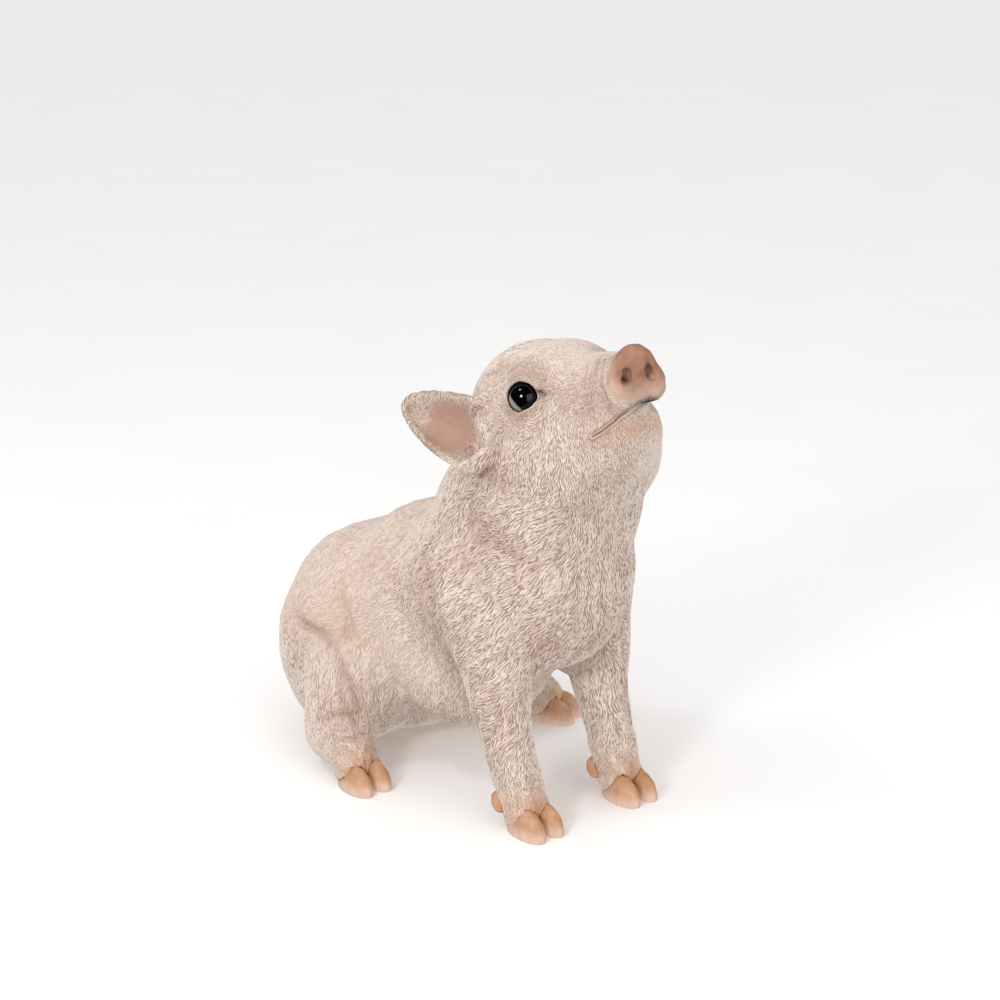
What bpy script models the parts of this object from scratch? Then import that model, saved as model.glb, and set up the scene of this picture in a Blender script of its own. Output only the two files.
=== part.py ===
# Sitting piglet figure, cast in polyresin and hand painted, with inset glass eyes.
#
# The figure is modelled whole, as a sculptor blocks it out: named masses of the body are fused,
# smoothed, given their feet, ears, snout and eyelids, and then parted with thin cuts into the
# parts that a person would name. The piglet looks along -Y, its right side is at -X, and it
# rests on z = 0 on its hooves, hind feet and rump. Each side piece is described once, on the
# right, and carried to the left by a matrix.

from math import cos, pi, radians, sin

import bmesh
import bpy
import numpy as np
from mathutils import Matrix, Vector

MM = 0.001

# Overall size of the figure: across its hind feet, from snout to rump, and floor to snout
WIDTH = 103 * MM
LENGTH = 160 * MM
HEIGHT = 160 * MM

# The gap that parts the pieces, the voxels of the two fusings, and the faces kept at the end
GAP = 0.3
CORE_VOXEL = 2.0 * MM
BODY_VOXEL = 0.8 * MM
BODY_FACES = 6600
THIN_WEIGHT = 0.004
FOOT_HEIGHT = 20 * MM
EYE_ZONE = 11 * MM
EAR_ZONE = 17 * MM
SHARP = radians(50)
REGION_SEGMENTS = 14

# Landmarks of the figure, for the centre plane or the right side of the body
HIP = Vector((0, 40, 38)) * MM
RUMP = Vector((-9, 39.6, 45)) * MM
LOIN = Vector((0, 17, 53)) * MM
CHEST = Vector((0, -12, 67)) * MM
BELLY = Vector((0, -1, 42)) * MM
BRISKET = Vector((0, -38, 79)) * MM
WITHERS = Vector((0, -8, 81)) * MM
THROAT = Vector((0, -44, 102)) * MM
NECK_ROOT = Vector((0, -22, 90)) * MM
NECK_TOP = Vector((0, -40, 118)) * MM
SKULL = Vector((0, -35.3, 129)) * MM
FOREHEAD = Vector((0, -46, 138.3)) * MM
JOWL = Vector((-12, -52, 121)) * MM
JAW = Vector((0, -56, 118)) * MM
CHIN = Vector((0, -65, 129)) * MM
MUZZLE_ROOT = Vector((0, -52, 137)) * MM
SNOUT = Vector((-1.2, -79, 150.1)) * MM
EYE = Vector((-16.3, -44.8, 139.1)) * MM

HEAD_PITCH = radians(30)
SNOUT_PITCH = radians(12)
SNOUT_YAW = radians(-9)

# The mouth in the centre plane, from its front to its corner, and how far its lips part at each
MOUTH = ((-95, 145), (-78.5, 139.8), (-75.4, 135.6), (-71, 131.5))
LIPS_PART = (1.4, 1.2, 0.7)
JAW_ROOT = (-51, 95)
JAW_FRONT = (-101, 70)

# The planes that part the head from the neck, the neck from the torso, and the lower forelegs
HEAD_CUT = Vector((0, -38, 111)) * MM
HEAD_CUT_TILT = radians(34)
NECK_CUT = Vector((0, -26, 95)) * MM
NECK_CUT_TILT = radians(20)
CARPUS_TILT = radians(-18)

# Foreleg, right side: shoulder, upper arm, elbow, carpus, fetlock and the floor under the hooves
SHOULDER = Vector((-20, -18, 74)) * MM
UPPER_ARM = Vector((-21.5, -35.5, 65)) * MM
ELBOW = Vector((-21.5, -35, 56)) * MM
CARPUS = Vector((-21.5, -39.9, 34)) * MM
FETLOCK = Vector((-21.3, -46.2, 17)) * MM
FORE_HOOVES = Vector((-20.8, -53.8, 0)) * MM

# Hind leg, right side; the left one is set back, and its foot is splayed out about the hock
HAUNCH = Vector((-23, 42, 33)) * MM
STIFLE = Vector((-33, 29, 36)) * MM
HOCK = Vector((-39.5, 26.5, 13)) * MM
HIND_FETLOCK = Vector((-43, 14, 9)) * MM
HIND_HOOVES = Vector((-44.3, 7.5, 0)) * MM
SPLAY = radians(28)
SET_BACK = Vector((-8.3, -1, 0)) * MM

# The eye: its ball, the lids over it, and the almond that they leave open
EYE_RADIUS = 5.4
EYE_LOOK = Vector((-0.85, -0.46, 0.24)).normalized()
LID = 1.5
EYE_OPENING = (5.2, 4.8)
EYE_CORNER = (4.6, 0.0, 5.6)
EYE_CORNER_RADII = (4.0, 1.5, 1.9)
EYE_TILT = radians(13)

# The right ear: a leaf from the middle of its root, with its length, its across and its cup
EAR_ROOT = Vector((-23.8, -31.2, 125.1)) * MM
EAR_LENGTH = Vector((-14.8, 13.7, -0.8)) * MM
EAR_ACROSS = Vector((-0.115, -0.37, -0.92)).normalized()
EAR_FACING = EAR_LENGTH.cross(EAR_ACROSS).normalized()
EAR_UPPER_HALF = 12.4 * MM
EAR_LOWER_HALF = 9.8 * MM
EAR_CUP = 8.5 * MM
EAR_TIP_RISE = 8.6 * MM
EAR_THICKNESS = 2.8 * MM
EAR_STEPS = 28

# A hoof, in millimetres in its foot's frame, and the dewclaw behind it on a forefoot
CLAW_RADII = (3.9, 8.2, 8.0)
CLAW_PLACE = (3.9, -2.0, 0.5)
CLAW_PITCH = radians(-6)
CLEFT = 0.5
DEWCLAW_RADII = (2.3, 2.6, 3.6)
DEWCLAW_PLACE = (6.4, 8.7, 8.5)
DEWCLAW_PITCH = radians(25)

# Folds of the hind leg, right side: places in millimetres, and each fold's width and depth
THIGH_FOLD = ((-45, 44, 46), (-43, 33, 47), (-42, 24, 40), (-41, 17, 29), (-39, 13, 16))
HOCK_FOLD = ((-50, 21, 18), (-49, 20, 21), (-47, 18, 22.7), (-44.4, 17, 23), (-41, 16, 21.6), (-40, 13, 16))
THIGH_PRESS = (3.0 * MM, 1.3 * MM)
HOCK_PRESS = (2.0 * MM, 0.8 * MM)
# Rings pressed behind the snout's disc: how far back, and at what radius
MUZZLE_RINGS = ((8.0, 11.0), (11.5, 12.5), (15.5, 14.0))

# The curled tail on the rump
TAIL_ROOT = Vector((0, 72, 52)) * MM
TAIL_LOOP = 5.0 * MM
TAIL_RADII = (2.6, 1.3)
TAIL_VOXEL = 0.5 * MM
TAIL_FACES = 400

# Where each side's pieces are carried to, from the right
RIGHT = Matrix()
LEFT = Matrix.Scale(-1, 4, (1, 0, 0))
ACROSS = Matrix(((0, 0, 1, 0), (1, 0, 0, 0), (0, 1, 0, 0), (0, 0, 0, 1)))
LEFT_HIND = Matrix.Translation(SET_BACK) @ LEFT
LEFT_FOOT = (
    LEFT_HIND
    @ Matrix.Translation(HOCK)
    @ Matrix.Rotation(-SPLAY, 4, "Z")
    @ Matrix.Translation(-HOCK)
)
SIDES = {"right": RIGHT, "left": LEFT}
HIND_SIDES = {"right": RIGHT, "left": LEFT_HIND}
FOOT_SIDES = {"right": RIGHT, "left": LEFT_FOOT}


def clear_scene():
    for obj in list(bpy.data.objects):
        bpy.data.objects.remove(obj)


def linked(name, data):
    obj = bpy.data.objects.new(name, data)
    bpy.context.scene.collection.objects.link(obj)
    return obj


def ball(centre, radii, pitch=0.0, frame=Matrix(), name="mass", segments=40):
    """An ellipsoid of radii in millimetres: one mass of the body, tipped back by pitch."""
    rings = segments // 2
    bpy.ops.mesh.primitive_uv_sphere_add(segments=segments, ring_count=rings, radius=1.0)
    obj = bpy.context.object
    obj.name = name
    turn = frame.to_3x3().to_4x4() @ Matrix.Rotation(-pitch, 4, "X")
    size = Matrix.Diagonal((*(Vector(radii) * MM), 1.0))
    obj.data.transform(Matrix.Translation(centre) @ turn @ size)
    return obj


def box(low, high, frame=Matrix(), margin=0.0):
    """A box between two corners in millimetres, in a frame, grown by the margin."""
    bpy.ops.mesh.primitive_cube_add(size=1.0)
    obj = bpy.context.object
    obj.name = "box"
    around = Vector((margin, margin, margin))
    low, high = (Vector(low) - around) * MM, (Vector(high) + around) * MM
    size = Matrix.Diagonal((*(high - low), 1.0))
    obj.data.transform(frame @ Matrix.Translation((low + high) / 2) @ size)
    return obj


def limb(points, radii, name="limb", sides=6):
    """A tapered tube through the points, closed with a ball at each end."""
    curve = bpy.data.curves.new(name, "CURVE")
    curve.dimensions = "3D"
    curve.bevel_depth = 1.0
    curve.bevel_resolution = sides
    curve.resolution_u = 8
    curve.use_fill_caps = True
    spline = curve.splines.new("BEZIER")
    spline.bezier_points.add(len(points) - 1)
    for knot, point, radius in zip(spline.bezier_points, points, radii):
        knot.co = point
        knot.radius = radius * MM
        knot.handle_left_type = knot.handle_right_type = "AUTO"
    tube = solidified(linked(name, curve), 0.01 * MM)
    ends = [ball(points[i], (radii[i] * 0.98,) * 3, segments=24) for i in (0, -1)]
    return gathered([tube, *ends], name)


def solidified(obj, merge=0.0):
    """The mesh that an object evaluates to, as an object of its own."""
    graph = bpy.context.evaluated_depsgraph_get()
    mesh = bpy.data.meshes.new_from_object(obj.evaluated_get(graph))
    name, place = obj.name, obj.matrix_world.copy()
    bpy.data.objects.remove(obj)
    made = linked(name, mesh)
    mesh.transform(place)
    if merge:
        bm = bmesh.new()
        bm.from_mesh(mesh)
        bmesh.ops.remove_doubles(bm, verts=bm.verts, dist=merge)
        bm.to_mesh(mesh)
        bm.free()
    return made


def copied(obj, name):
    return linked(name, obj.data.copy())


def gathered(objects, name):
    """Joins objects into one mesh without resolving where they overlap."""
    bm = bmesh.new()
    for obj in objects:
        bm.from_mesh(obj.data)
        bpy.data.objects.remove(obj)
    mesh = bpy.data.meshes.new(name)
    bm.to_mesh(mesh)
    bm.free()
    return linked(name, mesh)


def carried(obj, matrix):
    """Carries a right-hand piece to its own side."""
    obj.data.transform(matrix)
    if matrix.determinant() < 0:
        obj.data.flip_normals()
    return obj


def on_sides(make, sides=SIDES):
    return [carried(make(), matrix) for matrix in sides.values()]


def remeshed(obj, voxel, smoothing):
    """Fuses overlapping masses into one skin, and smooths the creases between them."""
    fuse = obj.modifiers.new("fuse", "REMESH")
    fuse.mode = "VOXEL"
    fuse.voxel_size = voxel
    soften = obj.modifiers.new("soften", "SMOOTH")
    soften.factor = 0.5
    soften.iterations = smoothing
    return solidified(obj)


def thinned(obj, faces, coarse=None):
    """Fewer triangles where the surface is plain, and where coarse says that a place may be."""
    thin = obj.modifiers.new("thin", "DECIMATE")
    thin.ratio = faces / (2 * len(obj.data.polygons))
    thin.use_collapse_triangulate = True
    if coarse:
        group = obj.vertex_groups.new(name="coarse")
        for vertex in obj.data.vertices:
            group.add([vertex.index], coarse(vertex.co), "REPLACE")
        thin.vertex_group = group.name
        thin.vertex_group_factor = THIN_WEIGHT
    return solidified(obj)


def coarse(place):
    """The head and the feet keep more of their triangles than the trunk does."""
    above_jaw = (place - HEAD_CUT).dot(Vector((0, -sin(HEAD_CUT_TILT), cos(HEAD_CUT_TILT))))
    mirrored = Vector((-abs(place.x), place.y, place.z))
    if (mirrored - EYE).length < EYE_ZONE:
        return 0.35
    if (mirrored - EAR_ROOT - EAR_LENGTH * 0.6).length < EAR_ZONE:
        return 0.2
    if above_jaw > 0:
        return 0.6
    return 0.75 if place.z < FOOT_HEIGHT else 1.0


def largest_only(obj):
    """Drops every loose scrap, so that the piece is one closed surface."""
    bm = bmesh.new()
    bm.from_mesh(obj.data)
    left = set(bm.verts)
    islands = []
    while left:
        seed = left.pop()
        island, edge = {seed}, [seed]
        while edge:
            vertex = edge.pop()
            near = {link.other_vert(vertex) for link in vertex.link_edges} - island
            island |= near
            edge += near
        left -= island
        islands.append(island)
    islands.sort(key=len)
    scraps = [vertex for island in islands[:-1] for vertex in island]
    bmesh.ops.delete(bm, geom=scraps, context="VERTS")
    bm.to_mesh(obj.data)
    bm.free()
    return obj


def combined(obj, cutter, operation):
    """A Boolean of two closed meshes; the cutter is used up."""
    cut = obj.modifiers.new("cut", "BOOLEAN")
    cut.operation = operation
    cut.solver = "MANIFOLD"
    cut.object = cutter
    made = solidified(obj)
    bpy.data.objects.remove(cutter)
    return made


def parted(whole, region, name):
    """Parts off what lies in a region, which is made with the margin that it is given."""
    piece = combined(copied(whole, name), region(0.0), "INTERSECT")
    rest = combined(whole, region(GAP), "DIFFERENCE")
    return largest_only(piece), rest


def creased(obj, points, width, depth):
    """Presses a crease along a line of points on the surface."""
    mesh = obj.data
    places = np.empty(len(mesh.vertices) * 3)
    mesh.vertices.foreach_get("co", places)
    places = places.reshape(-1, 3)
    normals = np.array([vertex.normal for vertex in mesh.vertices])
    nearest = np.full(len(places), np.inf)
    for start, end in zip(points, points[1:]):
        start, along = np.array(start), np.array(end - start)
        part = np.clip((places - start) @ along / (along @ along), 0, 1)
        away = places - start - part[:, None] * along
        nearest = np.minimum(nearest, np.linalg.norm(away, axis=1))
    press = depth * np.exp(-((nearest / width) ** 2))
    places -= normals * press[:, None]
    mesh.vertices.foreach_set("co", places.ravel())
    mesh.update()


def torso_masses():
    made = [
        ball(HIP, (34, 37, 38)),
        ball(LOIN, (35, 34, 35.5)),
        ball(CHEST, (34, 31.5, 35.5)),
        ball(BELLY, (31, 25, 28)),
        ball(BRISKET, (30.5, 25.5, 33.5)),
        ball(WITHERS, (25, 23, 20)),
        ball(THROAT, (28.5, 23, 25)),
        limb([NECK_ROOT, NECK_TOP], [29.5, 25.3]),
    ]
    return made + on_sides(lambda: ball(RUMP, (32, 37, 30.6)))


def head_masses():
    made = [
        ball(SKULL, (25, 23.5, 24), HEAD_PITCH),
        ball(FOREHEAD, (20, 17, 17)),
        ball(CHIN, (19, 15.6, 15)),
        ball(JAW, (21, 17.5, 16.5)),
        limb([MUZZLE_ROOT, SNOUT + Vector((0, 8, -3.8)) * MM], [15, 10.6]),
    ]
    made += on_sides(lambda: ball(JOWL, (15, 20, 20)))
    return made


def leg_masses():
    forelegs = [
        lambda: ball(SHOULDER, (15, 19, 24)),
        lambda: ball(UPPER_ARM, (14, 14, 14)),
        lambda: limb([SHOULDER, ELBOW, CARPUS, FETLOCK], [17, 13.2, 9.8, 8.3]),
    ]
    hind_legs = [
        lambda: ball(HAUNCH, (22, 32, 33)),
        lambda: limb([HAUNCH, STIFLE], [20, 15]),
        lambda: limb([STIFLE, HOCK], [14, 13.2]),
    ]
    made = [mass for make in forelegs for mass in on_sides(make)]
    made += [mass for make in hind_legs for mass in on_sides(make, HIND_SIDES)]
    return made + on_sides(lambda: limb([HOCK, HIND_FETLOCK], [13.2, 9]), FOOT_SIDES)


def feet():
    """Each foot: its name, the frame on the right, its ankle, and where it is carried to."""
    fore, hind = Matrix.Translation(FORE_HOOVES), Matrix.Translation(HIND_HOOVES)
    found = [("fore", side, fore, FETLOCK, matrix) for side, matrix in SIDES.items()]
    for side, matrix in FOOT_SIDES.items():
        found.append(("hind", side, hind, HIND_FETLOCK, matrix))
    return found


def in_frame(frame, *place):
    return frame @ (Vector(place) * MM)


def foot_masses(pair, frame, ankle):
    """The flesh of a foot: the pastern, the toes, and a forefoot's heels under its dewclaws."""
    made = [limb([ankle, in_frame(frame, 0, 3, 8)], [8.6, 7.2])]
    made.append(ball(in_frame(frame, 0, 5, 5), (7, 6, 6), 0, frame))
    x, y, z = DEWCLAW_PLACE
    for toe in (-1, 1):
        place = in_frame(frame, toe * 3.9, 2.2, 5.5)
        made.append(ball(place, (4.5, 5.6, 6.0), radians(-20), frame))
        if pair == "fore":
            heel = in_frame(frame, toe * (x - 1.5), y - 1.5, z + 1.5)
            made.append(ball(heel, (3.6, 3.6, 4.2), 0, frame))
    return made


def claw(frame, toe, margin=0.0):
    """One hoof: flat below, rounded above, and straight along the cleft."""
    x, y, z = CLAW_PLACE
    radii = [radius + margin for radius in CLAW_RADII]
    made = ball(in_frame(frame, toe * x, y, z), radii, CLAW_PITCH, frame, segments=14)
    if margin:
        return made
    low = (CLEFT / 2, -20, 0) if toe > 0 else (-20, -20, 0)
    high = (20, 20, 20) if toe > 0 else (-CLEFT / 2, 20, 20)
    return combined(made, box(low, high, frame), "INTERSECT")


def dewclaw(frame, toe, margin=0.0):
    x, y, z = DEWCLAW_PLACE
    radii = [radius + margin for radius in DEWCLAW_RADII]
    return ball(in_frame(frame, toe * x, y, z), radii, DEWCLAW_PITCH, frame, segments=8)


def ear_point(along, side):
    """A place on the ear's leaf: along from its root to its tip, side from top to bottom."""
    half = EAR_UPPER_HALF if side < 0 else EAR_LOWER_HALF
    half *= max(0.0, 1 - ((along - 0.25) / 0.76) ** 2) ** 0.6
    shift = -EAR_TIP_RISE * max(along, 0.0) ** 2
    cup = EAR_CUP * (1.0 - 0.55 * along) * abs(side) ** 2.2
    place = EAR_ROOT + EAR_LENGTH * 1.12 * along
    place = place + EAR_ACROSS * (shift + half * side)
    return place + EAR_FACING * (cup - 4.5 * MM)


def ear_masses():
    """The right ear: a cupped leaf laid out in small balls, and the fold at its root."""
    bm = bmesh.new()
    for i in range(EAR_STEPS + 1):
        along = 1.2 * i / EAR_STEPS - 0.2
        for j in range(EAR_STEPS + 1):
            place = Matrix.Translation(ear_point(along, 2 * j / EAR_STEPS - 1))
            radius = EAR_THICKNESS / 2
            bmesh.ops.create_icosphere(bm, subdivisions=1, radius=radius, matrix=place)
    mesh = bpy.data.meshes.new("leaf")
    bm.to_mesh(mesh)
    bm.free()
    fold = [ear_point(0.4, 0.98), ear_point(0.12, 1.0), ear_point(-0.12, 0.62)]
    fold[1] = fold[1] + EAR_FACING * 1.5 * MM
    fold[2] = fold[2] + EAR_FACING * 6.0 * MM
    return gathered([linked("leaf", mesh), limb(fold, [1.6, 3.0, 3.0])], "ear")


def ear_region(margin):
    turn = Matrix((EAR_LENGTH.normalized(), EAR_ACROSS, EAR_FACING)).transposed().to_4x4()
    centre = EAR_ROOT + EAR_LENGTH * 0.75 - EAR_ACROSS * 1.5 * MM
    radii = (13.5 + margin, 20 + margin, 10 + margin)
    return ball(centre, radii, 0, turn, segments=REGION_SEGMENTS)


def snout_frame():
    turn = Matrix.Rotation(SNOUT_YAW, 4, "Z") @ Matrix.Rotation(-SNOUT_PITCH, 4, "X")
    return Matrix.Translation(SNOUT) @ turn


def snout_masses():
    """The rooting disc: two lobes below and one above, in the snout's frame."""
    frame = snout_frame()
    made = []
    for side, up, radius in ((-4.1, -2.5, 6.8), (4.1, -2.5, 6.8), (0, -2.9, 6.3), (0, 1.8, 8.2)):
        place = in_frame(frame, side, 1.7, up)
        made.append(ball(place, (radius, 3.6, radius), 0, frame))
    return made


def snout_region(margin):
    return box((-14, -12, -11.5), (14, 5.8, 14), snout_frame(), margin)


def nostril(side):
    """The comma-shaped pit of one nostril, set a little to the right as on the casting."""
    frame = snout_frame()
    middle = in_frame(frame, 4.0 * side - 0.7, -0.6, 0.9)
    tail_end = in_frame(frame, 5.0 * side - 0.7, -1.4, -0.7)
    pit = ball(middle, (1.4, 3.2, 2.0), 0, frame, segments=12)
    comma = ball(tail_end, (1.6, 2.2, 1.1), 0, frame, segments=10)
    return combined(pit, comma, "UNION")


def eye_frame():
    """The right eye's frame: +Z looks out of the head, +X points to the inner corner."""
    forward = Vector((0, -cos(EYE_TILT), sin(EYE_TILT)))
    inner = (forward - EYE_LOOK * forward.dot(EYE_LOOK)).normalized()
    up = EYE_LOOK.cross(inner)
    turn = Matrix((inner, up, EYE_LOOK)).transposed().to_4x4()
    return Matrix.Translation(EYE) @ turn


def prism(outline, start, end):
    """A closed prism from an outline in the XY plane, between two heights."""
    bm = bmesh.new()
    face = bm.faces.new([bm.verts.new((x, y, start)) for x, y in outline])
    made = bmesh.ops.extrude_face_region(bm, geom=[face])
    top = [item for item in made["geom"] if isinstance(item, bmesh.types.BMVert)]
    bmesh.ops.translate(bm, verts=top, vec=(0, 0, end - start))
    bmesh.ops.recalc_face_normals(bm, faces=bm.faces)
    mesh = bpy.data.meshes.new("prism")
    bm.to_mesh(mesh)
    bm.free()
    return linked("prism", mesh)


def eye_opening():
    """The opening that the right eye's lids leave, without its corner."""
    frame = eye_frame()
    return ball(in_frame(frame, 0, 0, 8), (*EYE_OPENING, 7), 0, frame, segments=24)


def eye_corner():
    """The inner corner of the opening, a shallow notch towards the snout."""
    frame = eye_frame()
    return ball(in_frame(frame, *EYE_CORNER), EYE_CORNER_RADII, 0, frame, segments=16)


def lid_masses():
    """The lids over the right eyeball, and the brow above it."""
    lid = ball(EYE, (EYE_RADIUS + LID,) * 3)
    brow = ball(in_frame(eye_frame(), -0.5, 5.5, -1.5), (6.5, 6, 6))
    return gathered([lid, brow], "lids")


def across(outline):
    """A prism right across the head, from an outline of (y, z) places in millimetres."""
    outline = [(y * MM, z * MM) for y, z in outline]
    return carried(prism(outline, -30 * MM, 30 * MM), ACROSS)


def jaw_region(margin):
    """The lower jaw: under the line of the mouth and in front of the jaw's root."""
    line = [Vector(place) for place in (*MOUTH, JAW_ROOT, JAW_FRONT)]
    outline = []
    for i, point in enumerate(line):
        before = (point - line[i - 1]).normalized()
        after = (line[(i + 1) % len(line)] - point).normalized()
        outward = Vector((-before.y, before.x)) + Vector((-after.y, after.x))
        outline.append(point + outward / (1 + before.dot(after)) * margin)
    return across(outline)


def mouth_gap():
    """The dark gap between the lips: open at the front, closed at the mouth's corner."""
    upper = [(y, z + part) for (y, z), part in zip(MOUTH, LIPS_PART)]
    return across([*MOUTH, *reversed(upper)])


def head_region(margin):
    frame = Matrix.Translation(HEAD_CUT) @ Matrix.Rotation(HEAD_CUT_TILT, 4, "X")
    return box((-60, -80, 0), (60, 80, 90), frame, margin)


def neck_region(margin):
    frame = Matrix.Translation(NECK_CUT) @ Matrix.Rotation(NECK_CUT_TILT, 4, "X")
    return box((-60, -80, 0), (60, 80, 90), frame, margin)


def lower_foreleg_region(margin):
    frame = Matrix.Translation(CARPUS) @ Matrix.Rotation(CARPUS_TILT, 4, "X")
    return box((-13, -16, -45), (13, 16, -2), frame, margin)


def upper_foreleg_region(margin):
    radii = (20 + margin, 20 + margin, 38 + margin)
    centre = Vector((-28, -33, 50)) * MM
    return ball(centre, radii, radians(31), segments=REGION_SEGMENTS)


def hind_foot_region(margin):
    return box((-14, -17, -5), (12, 31, 15), Matrix.Translation(HIND_HOOVES), margin)


def thigh_region(margin):
    radii = (23 + margin, 27 + margin, 36 + margin)
    return ball(Vector((-34, 36, 30)) * MM, radii, segments=REGION_SEGMENTS)


def tail(margin):
    """The tail: one turn of a curl that lies against the rump."""
    points = [TAIL_ROOT + Vector((0, -5, 0)) * MM, TAIL_ROOT + Vector((0, 2.5, 0)) * MM]
    middle = TAIL_ROOT + Vector((-TAIL_LOOP, 4.4 * MM, 0))
    for i in range(1, 8):
        turn = 2 * pi * i / 8
        place = Vector((cos(turn), 0, -sin(turn))) * TAIL_LOOP
        points.append(middle + place + Vector((0, -0.12 * i, 0)) * MM)
    first, last = TAIL_RADII
    radii = [first + (last - first) * i / (len(points) - 1) for i in range(len(points))]
    whole = limb(points, [radius + margin for radius in radii], "tail", 3)
    return thinned(remeshed(whole, TAIL_VOXEL, 2), TAIL_FACES)


def press_folds(body):
    """The folds in front of each thigh and over each hock, and those behind the snout."""
    folds = ((THIGH_FOLD, THIGH_PRESS, HIND_SIDES), (HOCK_FOLD, HOCK_PRESS, FOOT_SIDES))
    for fold, press, sides in folds:
        for matrix in sides.values():
            creased(body, [matrix @ (Vector(place) * MM) for place in fold], *press)
    frame = snout_frame()
    for back, radius in MUZZLE_RINGS:
        turns = [pi * i / 8 for i in range(9)]
        ring = [in_frame(frame, radius * cos(t), back, radius * sin(t) - 2) for t in turns]
        creased(body, ring, 1.1 * MM, 0.5 * MM)


def build_body():
    core = gathered(torso_masses() + head_masses() + leg_masses(), "core")
    core = remeshed(core, CORE_VOXEL, 22)
    pieces = [core, *snout_masses(), *on_sides(lid_masses), *on_sides(ear_masses)]
    for pair, _, frame, ankle, matrix in feet():
        pieces += [carried(mass, matrix) for mass in foot_masses(pair, frame, ankle)]
    body = remeshed(gathered(pieces, "body"), BODY_VOXEL, 4)
    press_folds(body)
    return body


def hollowed(body):
    """Cuts the floor's flat, the eye sockets, the lids' openings and the nostrils."""
    body = combined(body, box((-200, -200, -100), (200, 200, 0)), "DIFFERENCE")
    for matrix in SIDES.values():
        socket = ball(EYE, (EYE_RADIUS + GAP,) * 3, segments=20)
        for cutter in (socket, eye_opening(), eye_corner()):
            body = combined(body, carried(cutter, matrix), "DIFFERENCE")
    for side in (-1, 1):
        body = combined(body, nostril(side), "DIFFERENCE")
    return body


def set_hooves(body, parts):
    """Makes the hooves and dewclaws, and the places in the feet that they sit in."""
    kinds = {"fore": {"claw": claw, "dewclaw": dewclaw}, "hind": {"claw": claw}}
    for pair, side, frame, _, matrix in feet():
        for toe, which in ((-1, "outer"), (1, "inner")):
            for kind, make in kinds[pair].items():
                parts[f"{pair}_{side}_{which}_{kind}"] = carried(make(frame, toe), matrix)
                around = carried(make(frame, toe, GAP), matrix)
                body = combined(body, around, "DIFFERENCE")
    return body


def divided(body, parts):
    """Parts the whole figure into its pieces, from the ears down."""
    for side, matrix in SIDES.items():
        def region(margin):
            return carried(ear_region(margin), matrix)
        parts["ear_" + side], body = parted(body, region, "ear")
    parts["head"], body = parted(body, head_region, "head")
    parts["neck"], body = parted(body, neck_region, "neck")
    parts["head"] = combined(parts["head"], mouth_gap(), "DIFFERENCE")
    parts["lower_jaw"], parts["head"] = parted(parts["head"], jaw_region, "lower_jaw")
    parts["snout"], parts["head"] = parted(parts["head"], snout_region, "snout")
    cuts = (
        ("lower_foreleg_", lower_foreleg_region, SIDES),
        ("upper_foreleg_", upper_foreleg_region, SIDES),
        ("hind_foot_", hind_foot_region, FOOT_SIDES),
        ("thigh_", thigh_region, HIND_SIDES),
    )
    for name, shape, sides in cuts:
        for side, matrix in sides.items():
            def region(margin):
                return carried(shape(margin), matrix)
            parts[name + side], body = parted(body, region, name)
    parts["torso"] = largest_only(body)
    parts["head"] = largest_only(parts["head"])


def painted(obj, colour, roughness):
    material = bpy.data.materials.new(obj.name)
    material.use_nodes = True
    shader = material.node_tree.nodes["Principled BSDF"]
    shader.inputs["Base Color"].default_value = (*colour, 1.0)
    shader.inputs["Roughness"].default_value = roughness
    shader.inputs["Metallic"].default_value = 0.0
    obj.data.materials.clear()
    obj.data.materials.append(material)
    bm = bmesh.new()
    bm.from_mesh(obj.data)
    for face in bm.faces:
        face.smooth = True
    for edge in bm.edges:
        edge.smooth = edge.calc_face_angle(0.0) < SHARP
    bm.to_mesh(obj.data)
    bm.free()


def paint_of(name):
    """The paint of a piece: its colour and its roughness."""
    if name.startswith("eye"):
        return (0.01, 0.008, 0.007), 0.05
    if name.endswith("claw"):
        return (0.62, 0.34, 0.2), 0.4
    if name == "snout":
        return (0.62, 0.33, 0.25), 0.4
    return (0.74, 0.55, 0.44), 0.6


def build():
    clear_scene()
    parts = {}
    body = hollowed(thinned(build_body(), BODY_FACES, coarse))
    body = set_hooves(body, parts)
    for side, matrix in SIDES.items():
        parts["eye_" + side] = carried(ball(EYE, (EYE_RADIUS,) * 3, segments=20), matrix)
    parts["tail"] = tail(0.0)
    body = combined(body, tail(GAP), "DIFFERENCE")
    divided(body, parts)
    low = [min(v.co[i] for p in parts.values() for v in p.data.vertices) for i in range(3)]
    high = [max(v.co[i] for p in parts.values() for v in p.data.vertices) for i in range(3)]
    centre = Vector(((low[0] + high[0]) / 2, (low[1] + high[1]) / 2, low[2]))
    ratios = [size / (b - a) for size, a, b in zip((WIDTH, LENGTH, HEIGHT), low, high)]
    fitted = Matrix.Diagonal((*ratios, 1.0)) @ Matrix.Translation(-centre)
    figure = bpy.data.collections.new("piglet_figurine")
    bpy.context.scene.collection.children.link(figure)
    for name, part in parts.items():
        part.name = part.data.name = name
        part.data.transform(fitted)
        painted(part, *paint_of(name))
        for collection in list(part.users_collection):
            collection.objects.unlink(part)
        figure.objects.link(part)


build()
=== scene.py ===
# %% [markdown]
# # A sitting piglet figurine in painted polyresin
# The object is a small garden or shelf figure: a piglet cast in polyresin, with short hair carved
# all over it, painted by hand in cream and pink, washed with thin brown paint and then varnished
# satin. Its eyes are glass, set into the casting. The solids of the figure are loaded as a fixed
# frame, and everything below is fitted to them, in metres: the piglet looks along -Y, its right
# side is at -X, and the floor is z = 0.

from math import cos, radians, sin

import bpy
import numpy as np
from mathutils import Matrix, Vector
from mathutils.bvhtree import BVHTree
from mathutils.kdtree import KDTree


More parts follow.
